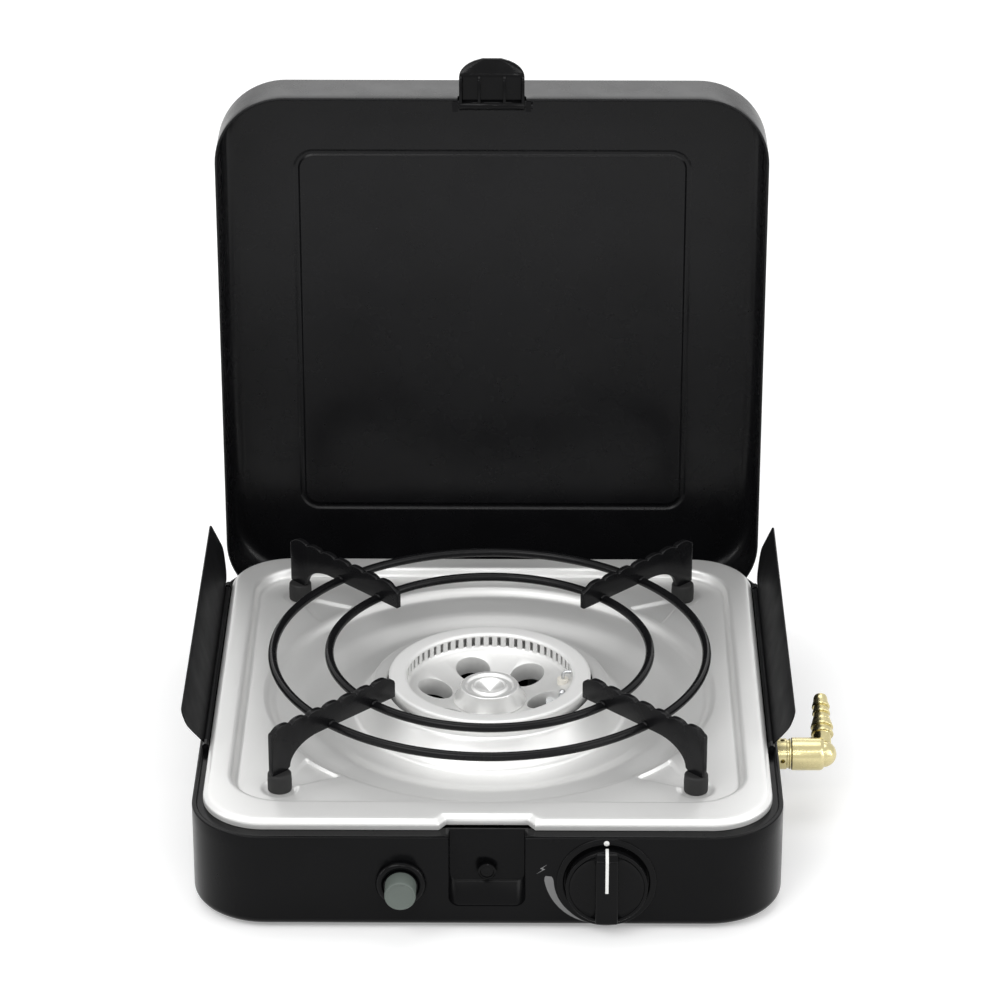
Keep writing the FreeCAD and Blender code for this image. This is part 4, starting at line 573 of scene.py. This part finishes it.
def ray_angles():
    """Even steps round the burner, and finer ones through the notch's two ends."""
    count, fine = 1080, 0.0016
    angles = [2 * math.pi * k / count for k in range(count)]
    corner = math.atan2(-151.5, 22)
    angles += [corner + fine * k for k in range(-24, 12)] + [math.pi - corner + fine * k for k in range(-12, 24)]
    return sorted({round(a % (2 * math.pi), 5) for a in angles})


def cooktop():
    angles = ray_angles()

    def ring_at(reaches, height):
        """One closed ring, from the reach along each ray and a rule for the height."""
        points = [(reach * math.cos(a), BURNER[1] + reach * math.sin(a)) for a, reach in zip(angles, reaches)]
        return [(x, y, height(x, y)) for x, y in points]

    def frame_ring(half_x, low_y, high_y, corner, z, notch=0.0):
        reaches = [outline_reach(a, half_x, low_y, high_y, corner, notch) for a in angles]
        return ring_at(reaches, lambda x, y: z)

    rings = [ring_at([radius] * len(angles), lambda x, y, z=z: z) for radius, z in BOWL]
    edge = [outline_reach(a, FIELD_HALF, FIELD_FRONT, FIELD_BACK, FIELD_CORNER) - 2.2 for a in angles]
    steps = 46
    for k in range(1, steps + 1):
        reaches = [BOWL_EDGE + (reach - BOWL_EDGE) * k / steps for reach in edge]
        rings.append(ring_at(reaches, lambda x, y: FIELD - pressed_relief(x, y)))
    for out, z in STEP:
        rings.append(frame_ring(FIELD_HALF + out, FIELD_FRONT - out, FIELD_BACK + out, FIELD_CORNER + out, z))
    bend = arc_points(TRAY_BEND, WELL_TOP - TRAY_BEND, TRAY_BEND, 90, 180, 7)
    for inset, z in [(8.0, WELL_TOP), (5.0, WELL_TOP)] + bend + [(0, 53.4)]:
        rings.append(frame_ring(TRAY_HALF - inset, TRAY_FRONT + inset, TRAY_BACK - inset, TRAY_CORNER - inset, z,
                                notch=max(inset, 0.001)))
    sheet = piece("pressed_cooktop", *loft(rings, caps=False), STEEL, "stove", "stainless")
    if sum(p.normal.z * p.area for p in sheet.data.polygons) < 0:
        sheet.data.flip_normals()
    thick = sheet.modifiers.new("sheet", "SOLIDIFY")
    thick.thickness = 0.9 * MM
    thick.offset = -1
    apply_modifiers(sheet)
    soften(sheet, 44)
    done(sheet, "cooktop")


cooktop()


# Burner: a cast cup with drawn air holes and a slotted inner wall, its trim ring and turned cap.
def around(radius, degrees):
    turn = math.radians(degrees)
    return radius * math.cos(turn), BURNER[1] + radius * math.sin(turn)


DISH_FLOOR, DISH_FLAT, DISH_RISE, MOUTH = 47.3, 19.8, 6.6, 44.3
AIR_HOLES, AIR_CIRCLE, AIR_RADIUS, LIP_RADIUS = 6, 29.8, 9.3, 10.1
SLOTS, SLOT_HALF, SLOT_IN, SLOT_OUT = 60, 0.95, 43.3, 46.6
RACE_IN, RACE_OUT = 45.8, 51.5
# The cast cup across, as (radius, height): dish, slotted wall, gas channel, outer wall and underside.
CUP = [(0.01, DISH_FLOOR), (DISH_FLAT, DISH_FLOOR), (21.5, 47.6), (40.6, 52.9), (42.6, 53.7), (43.8, 54.7),
       (MOUTH, 56.0), (MOUTH, 61.5), (RACE_IN, 61.5), (RACE_IN, 47.5), (RACE_OUT, 47.5),
       (RACE_OUT, 61.5), (53.0, 61.5), (53.0, 48.0), (52.4, 46.6), (51.0, 46.0), (45.0, 46.0), (MOUTH, 46.8),
       (MOUTH, 52.4), (DISH_FLAT, 45.8), (0.01, 45.8)]
TRIM_RING = [(MOUTH, 61.5), (53.3, 61.5), (53.7, 61.8), (53.7, 62.2), (53.4, 62.75), (52.7, 63.05), (51.8, 63.1),
             (46.4, 63.1), (45.4, 62.95), (44.7, 62.6), (44.35, 62.1)]


def dish_height(x, y):
    reach = min(max(math.hypot(x, y - BURNER[1]), DISH_FLAT), MOUTH)
    return DISH_FLOOR + (reach - DISH_FLAT) * DISH_RISE / (MOUTH - DISH_FLAT)


def merged(name, shapes, material, body, slot):
    """One piece made of several separate closed shapes."""
    verts, faces = [], []
    for some_verts, some_faces in shapes:
        start = len(verts)
        verts += some_verts
        faces += [tuple(start + k for k in face) for face in some_faces]
    return piece(name, verts, faces, material, body, slot)


def air_hole_lip(centre):
    """A short sleeve that hangs from the dish, its top following the slope."""
    rings = []
    for drop in (0.7, 9.8):
        circle = arc_points(*centre, LIP_RADIUS, 0, 360, 48)[:-1]
        rings.append([(x, y, dish_height(x, y) - drop) for x, y in circle])
    return loft(rings)


def flame_slot(degrees):
    """A box through the slotted wall, on the given side."""
    a, b = math.cos(math.radians(degrees)), math.sin(math.radians(degrees))
    outline = [(along * a - aside * b, BURNER[1] + along * b + aside * a)
               for along, aside in rectangle(SLOT_IN, -SLOT_HALF, SLOT_OUT, SLOT_HALF)]
    return extruded(outline, 56.0, 61.1, "XY")


def burner():
    look = (ALLOY, "stove", "burner_aluminium")
    cup = piece("burner_dish", *revolve(tidy_profile(CUP), BURNER, 240), *look)
    centres = [around(AIR_CIRCLE, -12 + 360 / AIR_HOLES * index) for index in range(AIR_HOLES)]
    added = [air_hole_lip(centre) for centre in centres]
    added.append(revolve(rectangle(0, 38, 8.6, 47), CUP_INLET, 48))
    carve(cup, merged("lips", added, *look), operation="UNION")
    holes = [revolve(rectangle(0, 34, AIR_RADIUS, 60), centre, 48) for centre in centres]
    holes += [flame_slot(360 / SLOTS * index) for index in range(SLOTS)]
    holes.append(revolve([(0, 40), (6.6, 40), (6.6, 44), (2.9, 44.01), (2.9, 49.5), (0, 49.5)], CUP_INLET, 32))
    carve(cup, merged("holes", holes, *look))
    bevel(cup, 0.25, 2, 50, 35)

    # The channel behind the slots is painted dark: painted shade in the recess behind the flame slots, on a rough
    # casting finish.
    cup.data.materials.append(CAST_PAINTED_SHADE)
    for face in cup.data.polygons:
        x, y, z = (c / MM for c in face.center)
        if RACE_IN + 0.2 < math.hypot(x, y - BURNER[1]) < RACE_OUT - 0.1 and 47.6 < z < 61.4:
            face.material_index = 1
    done(cup, "burner_cup")

    trim = piece("burner_trim", *revolve(TRIM_RING, BURNER, 240), TRIM, *look[1:], 50)
    done(trim, "burner_ring")
    cap = tidy_profile(
        [(0.01, 42.5), (2.4, 42.5), (2.4, 47.3), (18.9, 47.3)] + arc_points(18.9, 47.8, 0.5, -90, 20, 4)
        + [(15.4, 55.2)] + arc_points(14.9, 55.3, 0.5, 20, 90, 3)
        + [(13.2, 55.8), (12.8, 55.6), (12.4, 55.0), (11.9, 54.7), (9.9, 54.7), (9.5, 55.0), (9.2, 55.6),
           (8.9, 55.8), (8.4, 55.8), (8.1, 55.6), (7.8, 55.1), (0.6, 51.8), (0.01, 51.7)])
    done(piece("turned_cap", *revolve(cap, BURNER, 160, closed_profile=False), TURNED, *look[1:], 30),
         "burner_cap")


burner()


# Flame sensor beside the cap.
def flame_sensor():
    tip = [(0.01, 30), (1.9, 30), (2.0, 30.2), (2.0, 54.6), (1.5, 54.9), (1.5, 55.6), (1.9, 55.9)]
    tip += arc_points(0, 56.6, 1.9, -5, 88, 6)
    done(piece("sensor_tip", *revolve(tip, SENSOR, 40, closed_profile=False), ZINC, "stove", "zinc_steel"))


flame_sensor()


# Pan support: two wire rings welded to four scalloped arms on rubber feet.
OUTER_RING, INNER_RING, WIRE_LEVEL, WIRE_RADIUS = 115.0, 85.0, 77, 2.35
ARM_CRESTS, CREST_PITCH, CREST_TOP, CREST_DIP = 7, 11.3, 89.5, 2.6
ARM_HALF, ARM_FOOT_LOW, ARM_FOOT_HIGH = 1.5, 56.7, 62.7
WELD_OUT, WELD_LEVEL, WELD_SPAN, WELD_SIDE, WELD_HEIGHT = 1.9, 78.6, 1.5, 0.8, 0.75


def scallops():
    """The wavy top of an arm, from the burner outwards."""
    points = []
    for index in reversed(range(ARM_CRESTS)):
        peak = 148 - CREST_PITCH * index
        for k in range(-6, 7):
            share = k / 6.5
            points.append((peak + share * CREST_PITCH / 2,
                           CREST_TOP - CREST_DIP * (1 - math.sqrt(1 - abs(share) ** 2.4))))
    return points


def arm_outline():
    """An arm from the side, as (distance from the burner, height)."""
    nose = [(70.0, 76.0), (70.0, 84.2), (70.5, 85.6), (71.6, 86.5), (73.0, 86.9)]
    heel = [(154.4, 87.2), (155.6, 86.6), (156.0, 85.6), (156.0, ARM_FOOT_HIGH), (154.5, ARM_FOOT_HIGH),
            (154.5, ARM_FOOT_LOW), (145.5, ARM_FOOT_LOW), (145.5, ARM_FOOT_HIGH)]
    sweep = [(143.6 - 20 * (1 - math.cos(turn)), 64 + 12 * math.sin(turn))
             for turn in (math.radians(9 * k) for k in range(11))]
    return nose + scallops() + heel + sweep


def turned(verts, degrees):
    """Points along an arm, as (out, aside, up), turned about the burner."""
    a, b = math.cos(math.radians(degrees)), math.sin(math.radians(degrees))
    return [(x * a - y * b, BURNER[1] + x * b + y * a, z) for x, y, z in verts]


def weld_bead(radius, side, degrees):
    """A small bead where a ring passes the side of an arm."""
    profile = tidy_profile([(0.01, -1.6)] + arc_points(0, 0, 1.6, -80, 80, 6) + [(0.01, 1.6)])
    verts, faces = revolve(profile, (0, 0), 16, closed_profile=False)
    verts = [(radius + x * WELD_SPAN, side * (WELD_OUT + WELD_SIDE * y), WELD_LEVEL + WELD_HEIGHT * z)
             for x, y, z in verts]
    return turned(verts, degrees), faces


def pan_support():
    for name, radius in (("outer_ring", OUTER_RING), ("inner_ring", INNER_RING)):
        circle = arc_points(radius, WIRE_LEVEL, WIRE_RADIUS, 0, 360, 24)[:-1]
        done(piece(name + "_wire", *revolve(circle, BURNER, 288), ENAMEL, "pan_support", "black_enamel", 60), name)
    for index in range(4):
        degrees = 45 + 90 * index
        verts, faces = extruded(arm_outline(), -ARM_HALF, ARM_HALF, "XZ")
        arm = piece("support_arm_%d" % (index + 1), turned(verts, degrees), faces, ENAMEL, "pan_support",
                    "black_paint")
        bevel(arm, 0.5, 3, 38, 35)
        done(arm, "support_arms")
        beads = [weld_bead(radius, side, degrees) for radius in (INNER_RING, OUTER_RING) for side in (-1, 1)]
        done(merged("weld_beads_%d" % (index + 1), beads, ENAMEL, "pan_support", "black_enamel"))
        foot = tidy_profile([(0.01, 52.7), (5.6, 52.7), (6.05, 52.95), (6.2, 53.5), (6.25, 58.6), (6.1, 60.9)]
                            + arc_points(4.9, 61.5, 1.2, 10, 90, 5) + [(0.01, ARM_FOOT_HIGH)])
        pad = piece("support_foot_%d" % (index + 1),
                    *revolve(foot, around(FOOT_CIRCLE, degrees), 48, closed_profile=False), RUBBER, "pan_support",
                    "black_rubber", 40)
        done(pad, "support_feet")


pan_support()


# Windshields: a leaning panel with a swept front edge and a rolled hem about its rod.
SHIELD_AXIS, SHIELD_LEAN, SHIELD_SHEET = (146.6, 56.1), 15.5, 0.8
HEM_FRONT, HEM_REAR, HEM_INNER, HEM_OUTER = -60, 113, 0.85, 1.6
# Swept front edge and slanted rear end, as (y, height up the panel).
SHIELD_FRONT = [(-84.6, 30.6), (-84.0, 26.2), (-82.0, 22.4), (-78.6, 18.6), (-75.0, 14.8), (-71.4, 11.2),
                (-67.8, 7.6), (-64.8, 4.6), (-62.2, 2.0), (-60.0, 0.0)]
SHIELD_REAR = [(121.0, 1.7), (125.5, 2.7), (129.5, 4.3), (133.0, 6.4), (136.3, 8.8), (138.8, 11.0),
               (139.8, 12.9), (139.5, 15.0), (131.2, 30.4), (130.6, 31.5), (129.6, 32.5), (128.2, 33.2),
               (126.5, 33.4)]


def windshield(side):
    outline = smooth_curve(SHIELD_FRONT, 3) + [(HEM_REAR, 0), (HEM_REAR, 1.7)] + SHIELD_REAR
    outline += arc_points(-81.4, 30.2, 3.2, 90, 170, 6)
    body = "windshield_right" if side > 0 else "windshield_left"
    turn = math.radians(SHIELD_LEAN) * side

    def stand(verts):
        return [(side * SHIELD_AXIS[0] + x * math.cos(turn) + z * math.sin(turn), y,
                 SHIELD_AXIS[1] - x * math.sin(turn) + z * math.cos(turn)) for x, y, z in verts]

    start = SHIELD_SHEET if side > 0 else -2 * SHIELD_SHEET
    verts, faces = extruded(outline, start, start + SHIELD_SHEET, "YZ")
    panel = piece(body + "_panel", stand(verts), faces, SATIN, body, "black_paint")
    bevel(panel, 0.25, 2, 50, 30)
    done(panel, body)
    tube = [(HEM_INNER, HEM_FRONT), (1.5, HEM_FRONT), (HEM_OUTER, HEM_FRONT + 0.1), (HEM_OUTER, HEM_REAR - 0.1),
            (1.5, HEM_REAR), (HEM_INNER, HEM_REAR)]
    verts, faces = revolve(tube, (0, 0), 40, "Y")
    done(piece(body + "_hem", stand(verts), faces, SATIN, body, "black_paint", 50), body)


windshield(-1)
windshield(1)


# Front controls. Profiles are (radius, y), with the face of the casing at FRONT.
KNOB_BACK, KNOB_FACE, GRIP_FACE = -156.2, -160.2, -164.7
KNOB_REACH, GRIP_HALF, POINTER_HALF = 20.1, 5.6, 0.8
SCALE_START, SCALE_SWEEP = 172, 82
PRINT_FRONT, PRINT_BACK = FRONT - 0.05, FRONT + 0.1
SPARK = [(30.4, 39.2), (26.6, 36.6), (28.0, 36.0), (24.6, 33.4), (29.2, 36.3), (27.8, 36.9)]


def control_knob():
    face = KNOB_FACE
    disc = tidy_profile(
        [(0.01, face + 1.3), (14.2, face + 1.3), (16.6, face + 1.15), (18.0, face + 0.75), (18.7, face + 0.3)]
        + arc_points(19.3, face + 0.55, 0.55, 180, 270, 3) + arc_points(20.1, face + 0.6, 0.6, 270, 360, 3)
        + [(20.7, KNOB_BACK - 0.2), (20.5, KNOB_BACK), (19.0, KNOB_BACK), (18.8, KNOB_BACK - 0.2),
           (18.8, face + 2.1), (0.01, face + 2.1)])
    look = (PLASTIC, "knob", "black_plastic")
    knob = piece("knob_disc", *revolve(disc, KNOB, 128, "Y"), *look)
    low, high = KNOB[1] - KNOB_REACH, KNOB[1] + KNOB_REACH
    side = [(face + 1.9, low), (face + 1.9, high), (face - 0.6, high), (GRIP_FACE, high - 2.6),
            (GRIP_FACE, low + 1.6), (face - 1.5, low)]
    grip = piece("knob_grip", *extruded(side, KNOB[0] - GRIP_HALF, KNOB[0] + GRIP_HALF, "YZ"), *look)
    bevel(grip, 0.9, 4, 30, 35)
    carve(knob, grip, operation="UNION")
    soften(knob, 32)
    done(knob, "control_knob")

    # The pointer line runs along the grip and on over the knob's edge.
    line = [(GRIP_FACE - 0.1, 28.6), (GRIP_FACE - 0.1, 46.1), (GRIP_FACE + 0.25, 46.9), (face - 0.9, 49.3),
            (face - 0.2, 49.75), (KNOB_BACK - 0.4, 49.85), (KNOB_BACK - 0.4, 49.4), (face + 0.4, 48.6),
            (GRIP_FACE + 0.6, 46.0), (GRIP_FACE + 0.6, 28.6)]
    pointer = piece("pointer_line", *extruded(line, KNOB[0] - POINTER_HALF, KNOB[0] + POINTER_HALF, "YZ"), WHITE,
                    "knob", "white_plastic")
    bevel(pointer, 0.12, 2, 30, 35)
    done(pointer, "knob_pointer")


control_knob()


def scale_outline():
    """The flame scale: a band round the knob that tapers off, with a round first end."""
    inner, outer = [], []
    for k in range(49):
        share = k / 48
        turn = math.radians(SCALE_START + SCALE_SWEEP * share)
        near = 26.7 - 2.1 * share
        far = 32.2 - 7.3 * share ** 0.8
        if k < 5:
            round_off = math.sqrt(max(1 - ((5 - k) / 5) ** 2, 0))
            middle = (near + far) / 2
            near, far = middle + (near - middle) * round_off, middle + (far - middle) * round_off
        inner.append((KNOB[0] + near * math.cos(turn), KNOB[1] + near * math.sin(turn)))
        outer.append((KNOB[0] + far * math.cos(turn), KNOB[1] + far * math.sin(turn)))
    return inner[1:] + outer[:0:-1]


def control_surround():
    ring = [(21.3, -154), (21.3, -154.7), (21.5, -155.0), (21.9, -155.2), (22.5, -155.2), (23.0, -155.0),
            (23.4, -154.85), (24.4, -154.85), (24.9, -154.7), (25.2, -154.4), (25.2, -154)]
    bezel = piece("knob_surround", *revolve(ring, KNOB, 160, "Y"), PLASTIC, "stove", "black_plastic", 60)
    done(bezel, "knob_bezel")
    dot = tidy_profile([(0.01, -154.6), (1.4, -154.6), (1.4, -155.2), (1.2, -155.35), (0.01, -155.38)])
    done(piece("index_dot", *revolve(dot, INDEX_DOT, 32, "Y", closed_profile=False), WHITE, "stove",
               "white_plastic"))
    for name, outline in (("flame_scale", scale_outline()), ("spark_sign", SPARK)):
        done(piece(name, *extruded(outline, PRINT_FRONT, PRINT_BACK, "XZ"), PRINT, "stove", "grey_plastic"))


control_surround()


def igniter():
    collar = [(8.6, -154), (8.6, -155.6), (9.0, -156.5), (9.7, -156.95), (10.6, -157), (11.6, -156.7),
              (12.3, -156.0), (12.7, -155.0), (12.7, -154)]
    done(piece("igniter_surround", *revolve(collar, IGNITER, 96, "Y"), PLASTIC, "stove", "black_plastic", 50),
         "igniter_collar")
    button = [(0.01, -166.95), (6.3, -166.95), (6.7, -167.1), (6.95, -167.4)]
    button += arc_points(7.3, -167.2, 0.3, 230, 290, 3)
    button += [(7.85, -166.9), (7.9, -166.5), (7.9, -138.5), (0.01, -138.5)]
    done(piece("push_button", *revolve(button, IGNITER, 96, "Y", closed_profile=False), BUTTON, "igniter_button",
               "grey_plastic", 40), "igniter_button")


igniter()


# Latch: an arched plate with side walls and two ribs, swung out above the standing lid.
LATCH_HALF, LATCH_LOW, LATCH_TOP = 17.6, 323.9, 350.5
PLATE_Y, PLATE_HALF, PLATE_CORNER = 159.3, 0.8, 0.5
ARCH_LOW, ARCH_HEIGHT, FLARE_LOW, FLARE_SLOPE = 341.5, 9.4, 342.3, 5 / 10.5
LATCH_WALLS = [(-LATCH_HALF, -16.0), (16.0, LATCH_HALF), (-7.6, -6.0), (6.0, 7.6)]
# Side walls and ribs from the side, as (y, z).
WALL_SIDE = [(159.0, 324.6), (156.4, 324.6), (155.7, 325.4), (155.6, 340.2), (156.0, 341.0), (159.0, 342.4)]


def latch():
    look = (PLASTIC, "latch", "black_plastic")
    rings, steps = [], 24
    for step in range(steps + 1):
        z = LATCH_LOW + (LATCH_TOP - LATCH_LOW) * step / steps
        half = LATCH_HALF * math.sqrt(max(1 - (max(z - ARCH_LOW, 0) / ARCH_HEIGHT) ** 2, 0.09))
        flare = max(z - FLARE_LOW, 0) * FLARE_SLOPE
        rings.append(rounded(half, PLATE_HALF, PLATE_CORNER, z, PLATE_Y + flare, 3, 6))
    done(piece("latch_plate", *loft(rings), *look, 40), "latch")
    for index, (x0, x1) in enumerate(LATCH_WALLS):
        wall = piece("latch_rib_%d" % (index + 1), *extruded(WALL_SIDE, x0, x1, "YZ"), *look)
        bevel(wall, 0.35, 2, 40, 35)
        done(wall, "latch")
    barrel = [(1.3, -LATCH_HALF), (2.3, -LATCH_HALF), (2.6, -17.3), (2.6, 17.3), (2.3, LATCH_HALF),
              (1.3, LATCH_HALF)]
    done(piece("latch_barrel", *revolve(barrel, LATCH_PIVOT, 40, "X"), *look, 50), "latch")


latch()


# The stud that the latch snaps over stands on the back of the recess.
def latch_catch():
    back = RECESS[-1][0]
    head = tidy_profile([(0.01, back - 3.3), (1.0, back - 3.3), (1.3, back - 3.5), (2.9, back - 3.5),
                         (3.3, back - 3.4), (3.5, back - 3.9), (4.0, back - 4.0), (4.5, back - 3.7),
                         (4.6, back - 3.2), (4.6, back), (2.5, back), (2.5, back + 1.4), (4.0, back + 1.4),
                         (4.0, back + 3.0), (0.01, back + 3.0)])
    done(piece("catch_stud", *revolve(head, STUD, 64, "Y", closed_profile=False), PLASTIC, "stove",
               "black_plastic", 35), "latch_stud")


latch_catch()


# Gas inlet: drilled collar, swivel body, round elbow and ribbed hose tail. Profiles are (radius, x).
BEND_X, BEND_RADIUS, DRILL_X, DRILL_RADIUS, DRILL_REACH = 176.2, 7.0, 154.5, 1.2, 14
TAIL_LEAN, RIBS, WIDE_RIBS, RIB_START, RIB_PITCH, WIDE_CREST, CREST = 25, 5, 2, 12, 4.5, 6.0, 4.8
COLLAR = [(3.0, 150), (7.7, 150), (8.2, 150.5), (8.2, 156.5), (7.9, 156.8), (7.6, 156.9), (7.6, 157.9),
          (7.9, 158.0), (8.2, 158.3), (8.0, 158.8), (4.05, 158.8), (4.05, 152.0), (3.0, 152.0)]
SWIVEL = [(0.01, 151.8), (3.9, 151.8), (3.9, 159.2), (8.2, 159.2), (8.7, 159.6), (8.7, 174.2), (8.4, 175.4),
          (7.6, BEND_X), (0.01, BEND_X)]


def tail_profile():
    """The hose tail's side from the bend out, as (radius, distance)."""
    points = [(0.01, 0), (4.55, 0), (4.55, 11.5), (4.75, 11.9)]
    for index in range(RIBS):
        start, crest = RIB_START + RIB_PITCH * index, WIDE_CREST if index < WIDE_RIBS else CREST
        points += [(crest - 0.3, start + 0.05), (crest, start + 0.45), (crest - 0.08, start + 1.2),
                   (crest - 0.5, start + 2.6), (crest - 0.95, start + 4.1), (crest - 0.95, start + 4.4)]
    points += [(3.8, 35.4), (3.7, 36.4), (3.3, 37.4), (2.7, 37.9), (2.0, 38), (2.0, 30), (0.01, 30)]
    return tidy_profile(points)


def inlet():
    y, z = INLET
    union_look = (GOLD, "stove", "yellow_brass")
    elbow_look = (GOLD, "hose_elbow", "yellow_brass")
    collar = piece("inlet_collar", *revolve(COLLAR, INLET, 96, "X"), *union_look)
    for centre, middle, axis in (((DRILL_X, z), y, "Y"), ((DRILL_X, y), z, "Z")):
        drill = rectangle(0, middle - DRILL_REACH, DRILL_RADIUS, middle + DRILL_REACH)
        carve(collar, piece("drill", *revolve(drill, centre, 32, axis), *union_look))
    soften(collar, 35)
    done(collar, "inlet_union")

    shell = piece("elbow_body", *revolve(SWIVEL, INLET, 96, "X", closed_profile=False), *elbow_look)
    ball = [(0.01, -BEND_RADIUS)] + arc_points(0, 0, BEND_RADIUS, -86, 86, 22) + [(0.01, BEND_RADIUS)]
    verts, faces = revolve(tidy_profile(ball), (BEND_X, y), 64, closed_profile=False)
    globe = piece("elbow_bend", [(px, py, pz + z) for px, py, pz in verts], faces, *elbow_look, 60)
    carve(shell, globe, operation="UNION")

    verts, faces = revolve(tail_profile(), count=64, closed_profile=False)
    lean = math.radians(TAIL_LEAN)
    verts = [(BEND_X + px, y + py * -math.sin(lean) + pz * math.cos(lean),
              z + py * math.cos(lean) + pz * math.sin(lean)) for px, py, pz in verts]
    done(piece("hose_tail", verts, faces, *elbow_look, 32), "hose_elbow")
    soften(shell, 35)
    done(shell, "hose_elbow")


inlet()


# Finishes of the solids that show as they were built.
FINISHES = {"black_paint": BLACK, "stainless": STEEL, "burner_aluminium": ALLOY, "zinc_steel": ZINC,
            "zinc_alloy": ZINC, "black_enamel": ENAMEL, "brass": BRASS, "yellow_brass": GOLD,
            "black_rubber": RUBBER, "black_plastic": PLASTIC, "grey_plastic": BUTTON, "white_plastic": WHITE,
            "white_ceramic": CERAMIC}
ENAMELLED = ("latch_pin", "windshield_rods")


def finish_nodes():
    for part in frame["record"]["subparts"]:
        thing = bpy.data.objects.get(part["node"])
        if thing is None or part["material_slot"] not in FINISHES:
            continue
        thing.data.materials.clear()
        thing.data.materials.append(ENAMEL if part["node"] in ENAMELLED else FINISHES[part["material_slot"]])


finish_nodes()


# Floor, backdrop and light. Places and sizes here are in metres, the lamps' powers in watts.
FLOOR_HALF, FLOOR_TONE, FLOOR_GLOW, SKY_STRENGTH = 6.0, 0.86, 0.25, 0.55
# Name, place, target, width, height and power of each lamp.
LAMPS = [
    ("key", (-0.9, -1.2, 1.6), (0, 0, 0.1), 1.2, 1.0, 14),
    ("fill", (1.4, -1.0, 1.0), (0, 0, 0.1), 1.0, 1.2, 7),
    ("top", (0.0, 0.5, 1.9), (0, 0, 0.1), 1.6, 1.0, 10),
    ("rear", (0.0, 1.9, 1.15), (0, 0.15, 0.3), 2.0, 0.7, 6),
    ("strip", (0.0, -1.8, 1.85), (0, 0, 0.2), 2.2, 0.10, 7),
    ("front", (0.25, -2.6, 1.45), (0, 0, 0.2), 0.35, 0.35, 3),
    ("side_left", (-1.6, -0.5, 0.5), (0, 0, 0.1), 0.08, 0.9, 3),
    ("side_right", (1.6, -0.5, 0.5), (0, 0, 0.1), 0.08, 0.9, 4),
]


def seen_rays(tree):
    """1 on rays from the camera, off mirrors and through glass, 0 on rays that light the object."""
    path = tree.nodes.new("ShaderNodeLightPath")
    seen = path.outputs["Is Camera Ray"]
    for ray in ("Is Glossy Ray", "Is Transmission Ray"):
        either = tree.nodes.new("ShaderNodeMath")
        either.operation = "MAXIMUM"
        tree.links.new(seen, either.inputs[0])
        tree.links.new(path.outputs[ray], either.inputs[1])
        seen = either.outputs["Value"]
    return seen


def stage():
    size = FLOOR_HALF
    mesh = bpy.data.meshes.new("floor")
    mesh.from_pydata([(-size, -size, 0), (size, -size, 0), (size, size, 0), (-size, size, 0)], [], [(0, 1, 2, 3)])
    floor = bpy.data.objects.new("floor", mesh)
    bpy.context.scene.collection.objects.link(floor)
    paper = Shader("floor_paper", (FLOOR_TONE, FLOOR_TONE, FLOOR_TONE), 0.0, 0.9)
    floor.data.materials.append(paper.material)
    glow = paper.node("ShaderNodeEmission")
    glow.inputs["Color"].default_value = (1, 1, 1, 1)
    glow.inputs["Strength"].default_value = FLOOR_GLOW
    total = paper.node("ShaderNodeAddShader")
    shade = paper.node("ShaderNodeMixShader")
    output = paper.tree.nodes["Material Output"]
    paper.join(paper.surface.outputs["BSDF"], total.inputs[0])
    paper.join(glow.outputs["Emission"], total.inputs[1])
    paper.join(seen_rays(paper.tree), shade.inputs["Fac"])
    paper.join(paper.surface.outputs["BSDF"], shade.inputs[1])
    paper.join(total.outputs["Shader"], shade.inputs[2])
    paper.join(shade.outputs["Shader"], output.inputs["Surface"])


def panel_light(name, place, target, width, height, power):
    data = bpy.data.lights.new(name, "AREA")
    data.shape = "RECTANGLE"
    data.size, data.size_y = width, height
    data.energy = power
    lamp = bpy.data.objects.new(name, data)
    bpy.context.scene.collection.objects.link(lamp)
    lamp.location = place
    lamp.rotation_euler = (Vector(target) - Vector(place)).to_track_quat("-Z", "Y").to_euler()


def light_room():
    world = bpy.data.worlds.new("room")
    bpy.context.scene.world = world
    world.use_nodes = True
    tree = world.node_tree
    sky = tree.nodes["Background"]
    sky.inputs["Color"].default_value = (1, 1, 1, 1)
    sky.inputs["Strength"].default_value = SKY_STRENGTH
    white = tree.nodes.new("ShaderNodeBackground")
    white.inputs["Color"].default_value = (1, 1, 1, 1)
    white.inputs["Strength"].default_value = 1.0
    mix = tree.nodes.new("ShaderNodeMixShader")
    tree.links.new(seen_rays(tree), mix.inputs["Fac"])
    tree.links.new(sky.outputs["Background"], mix.inputs[1])
    tree.links.new(white.outputs["Background"], mix.inputs[2])
    tree.links.new(mix.outputs["Shader"], tree.nodes["World Output"].inputs["Surface"])
    for lamp in LAMPS:
        panel_light(*lamp)
    bpy.context.scene.view_settings.view_transform = "Standard"


stage()
light_room()

import json
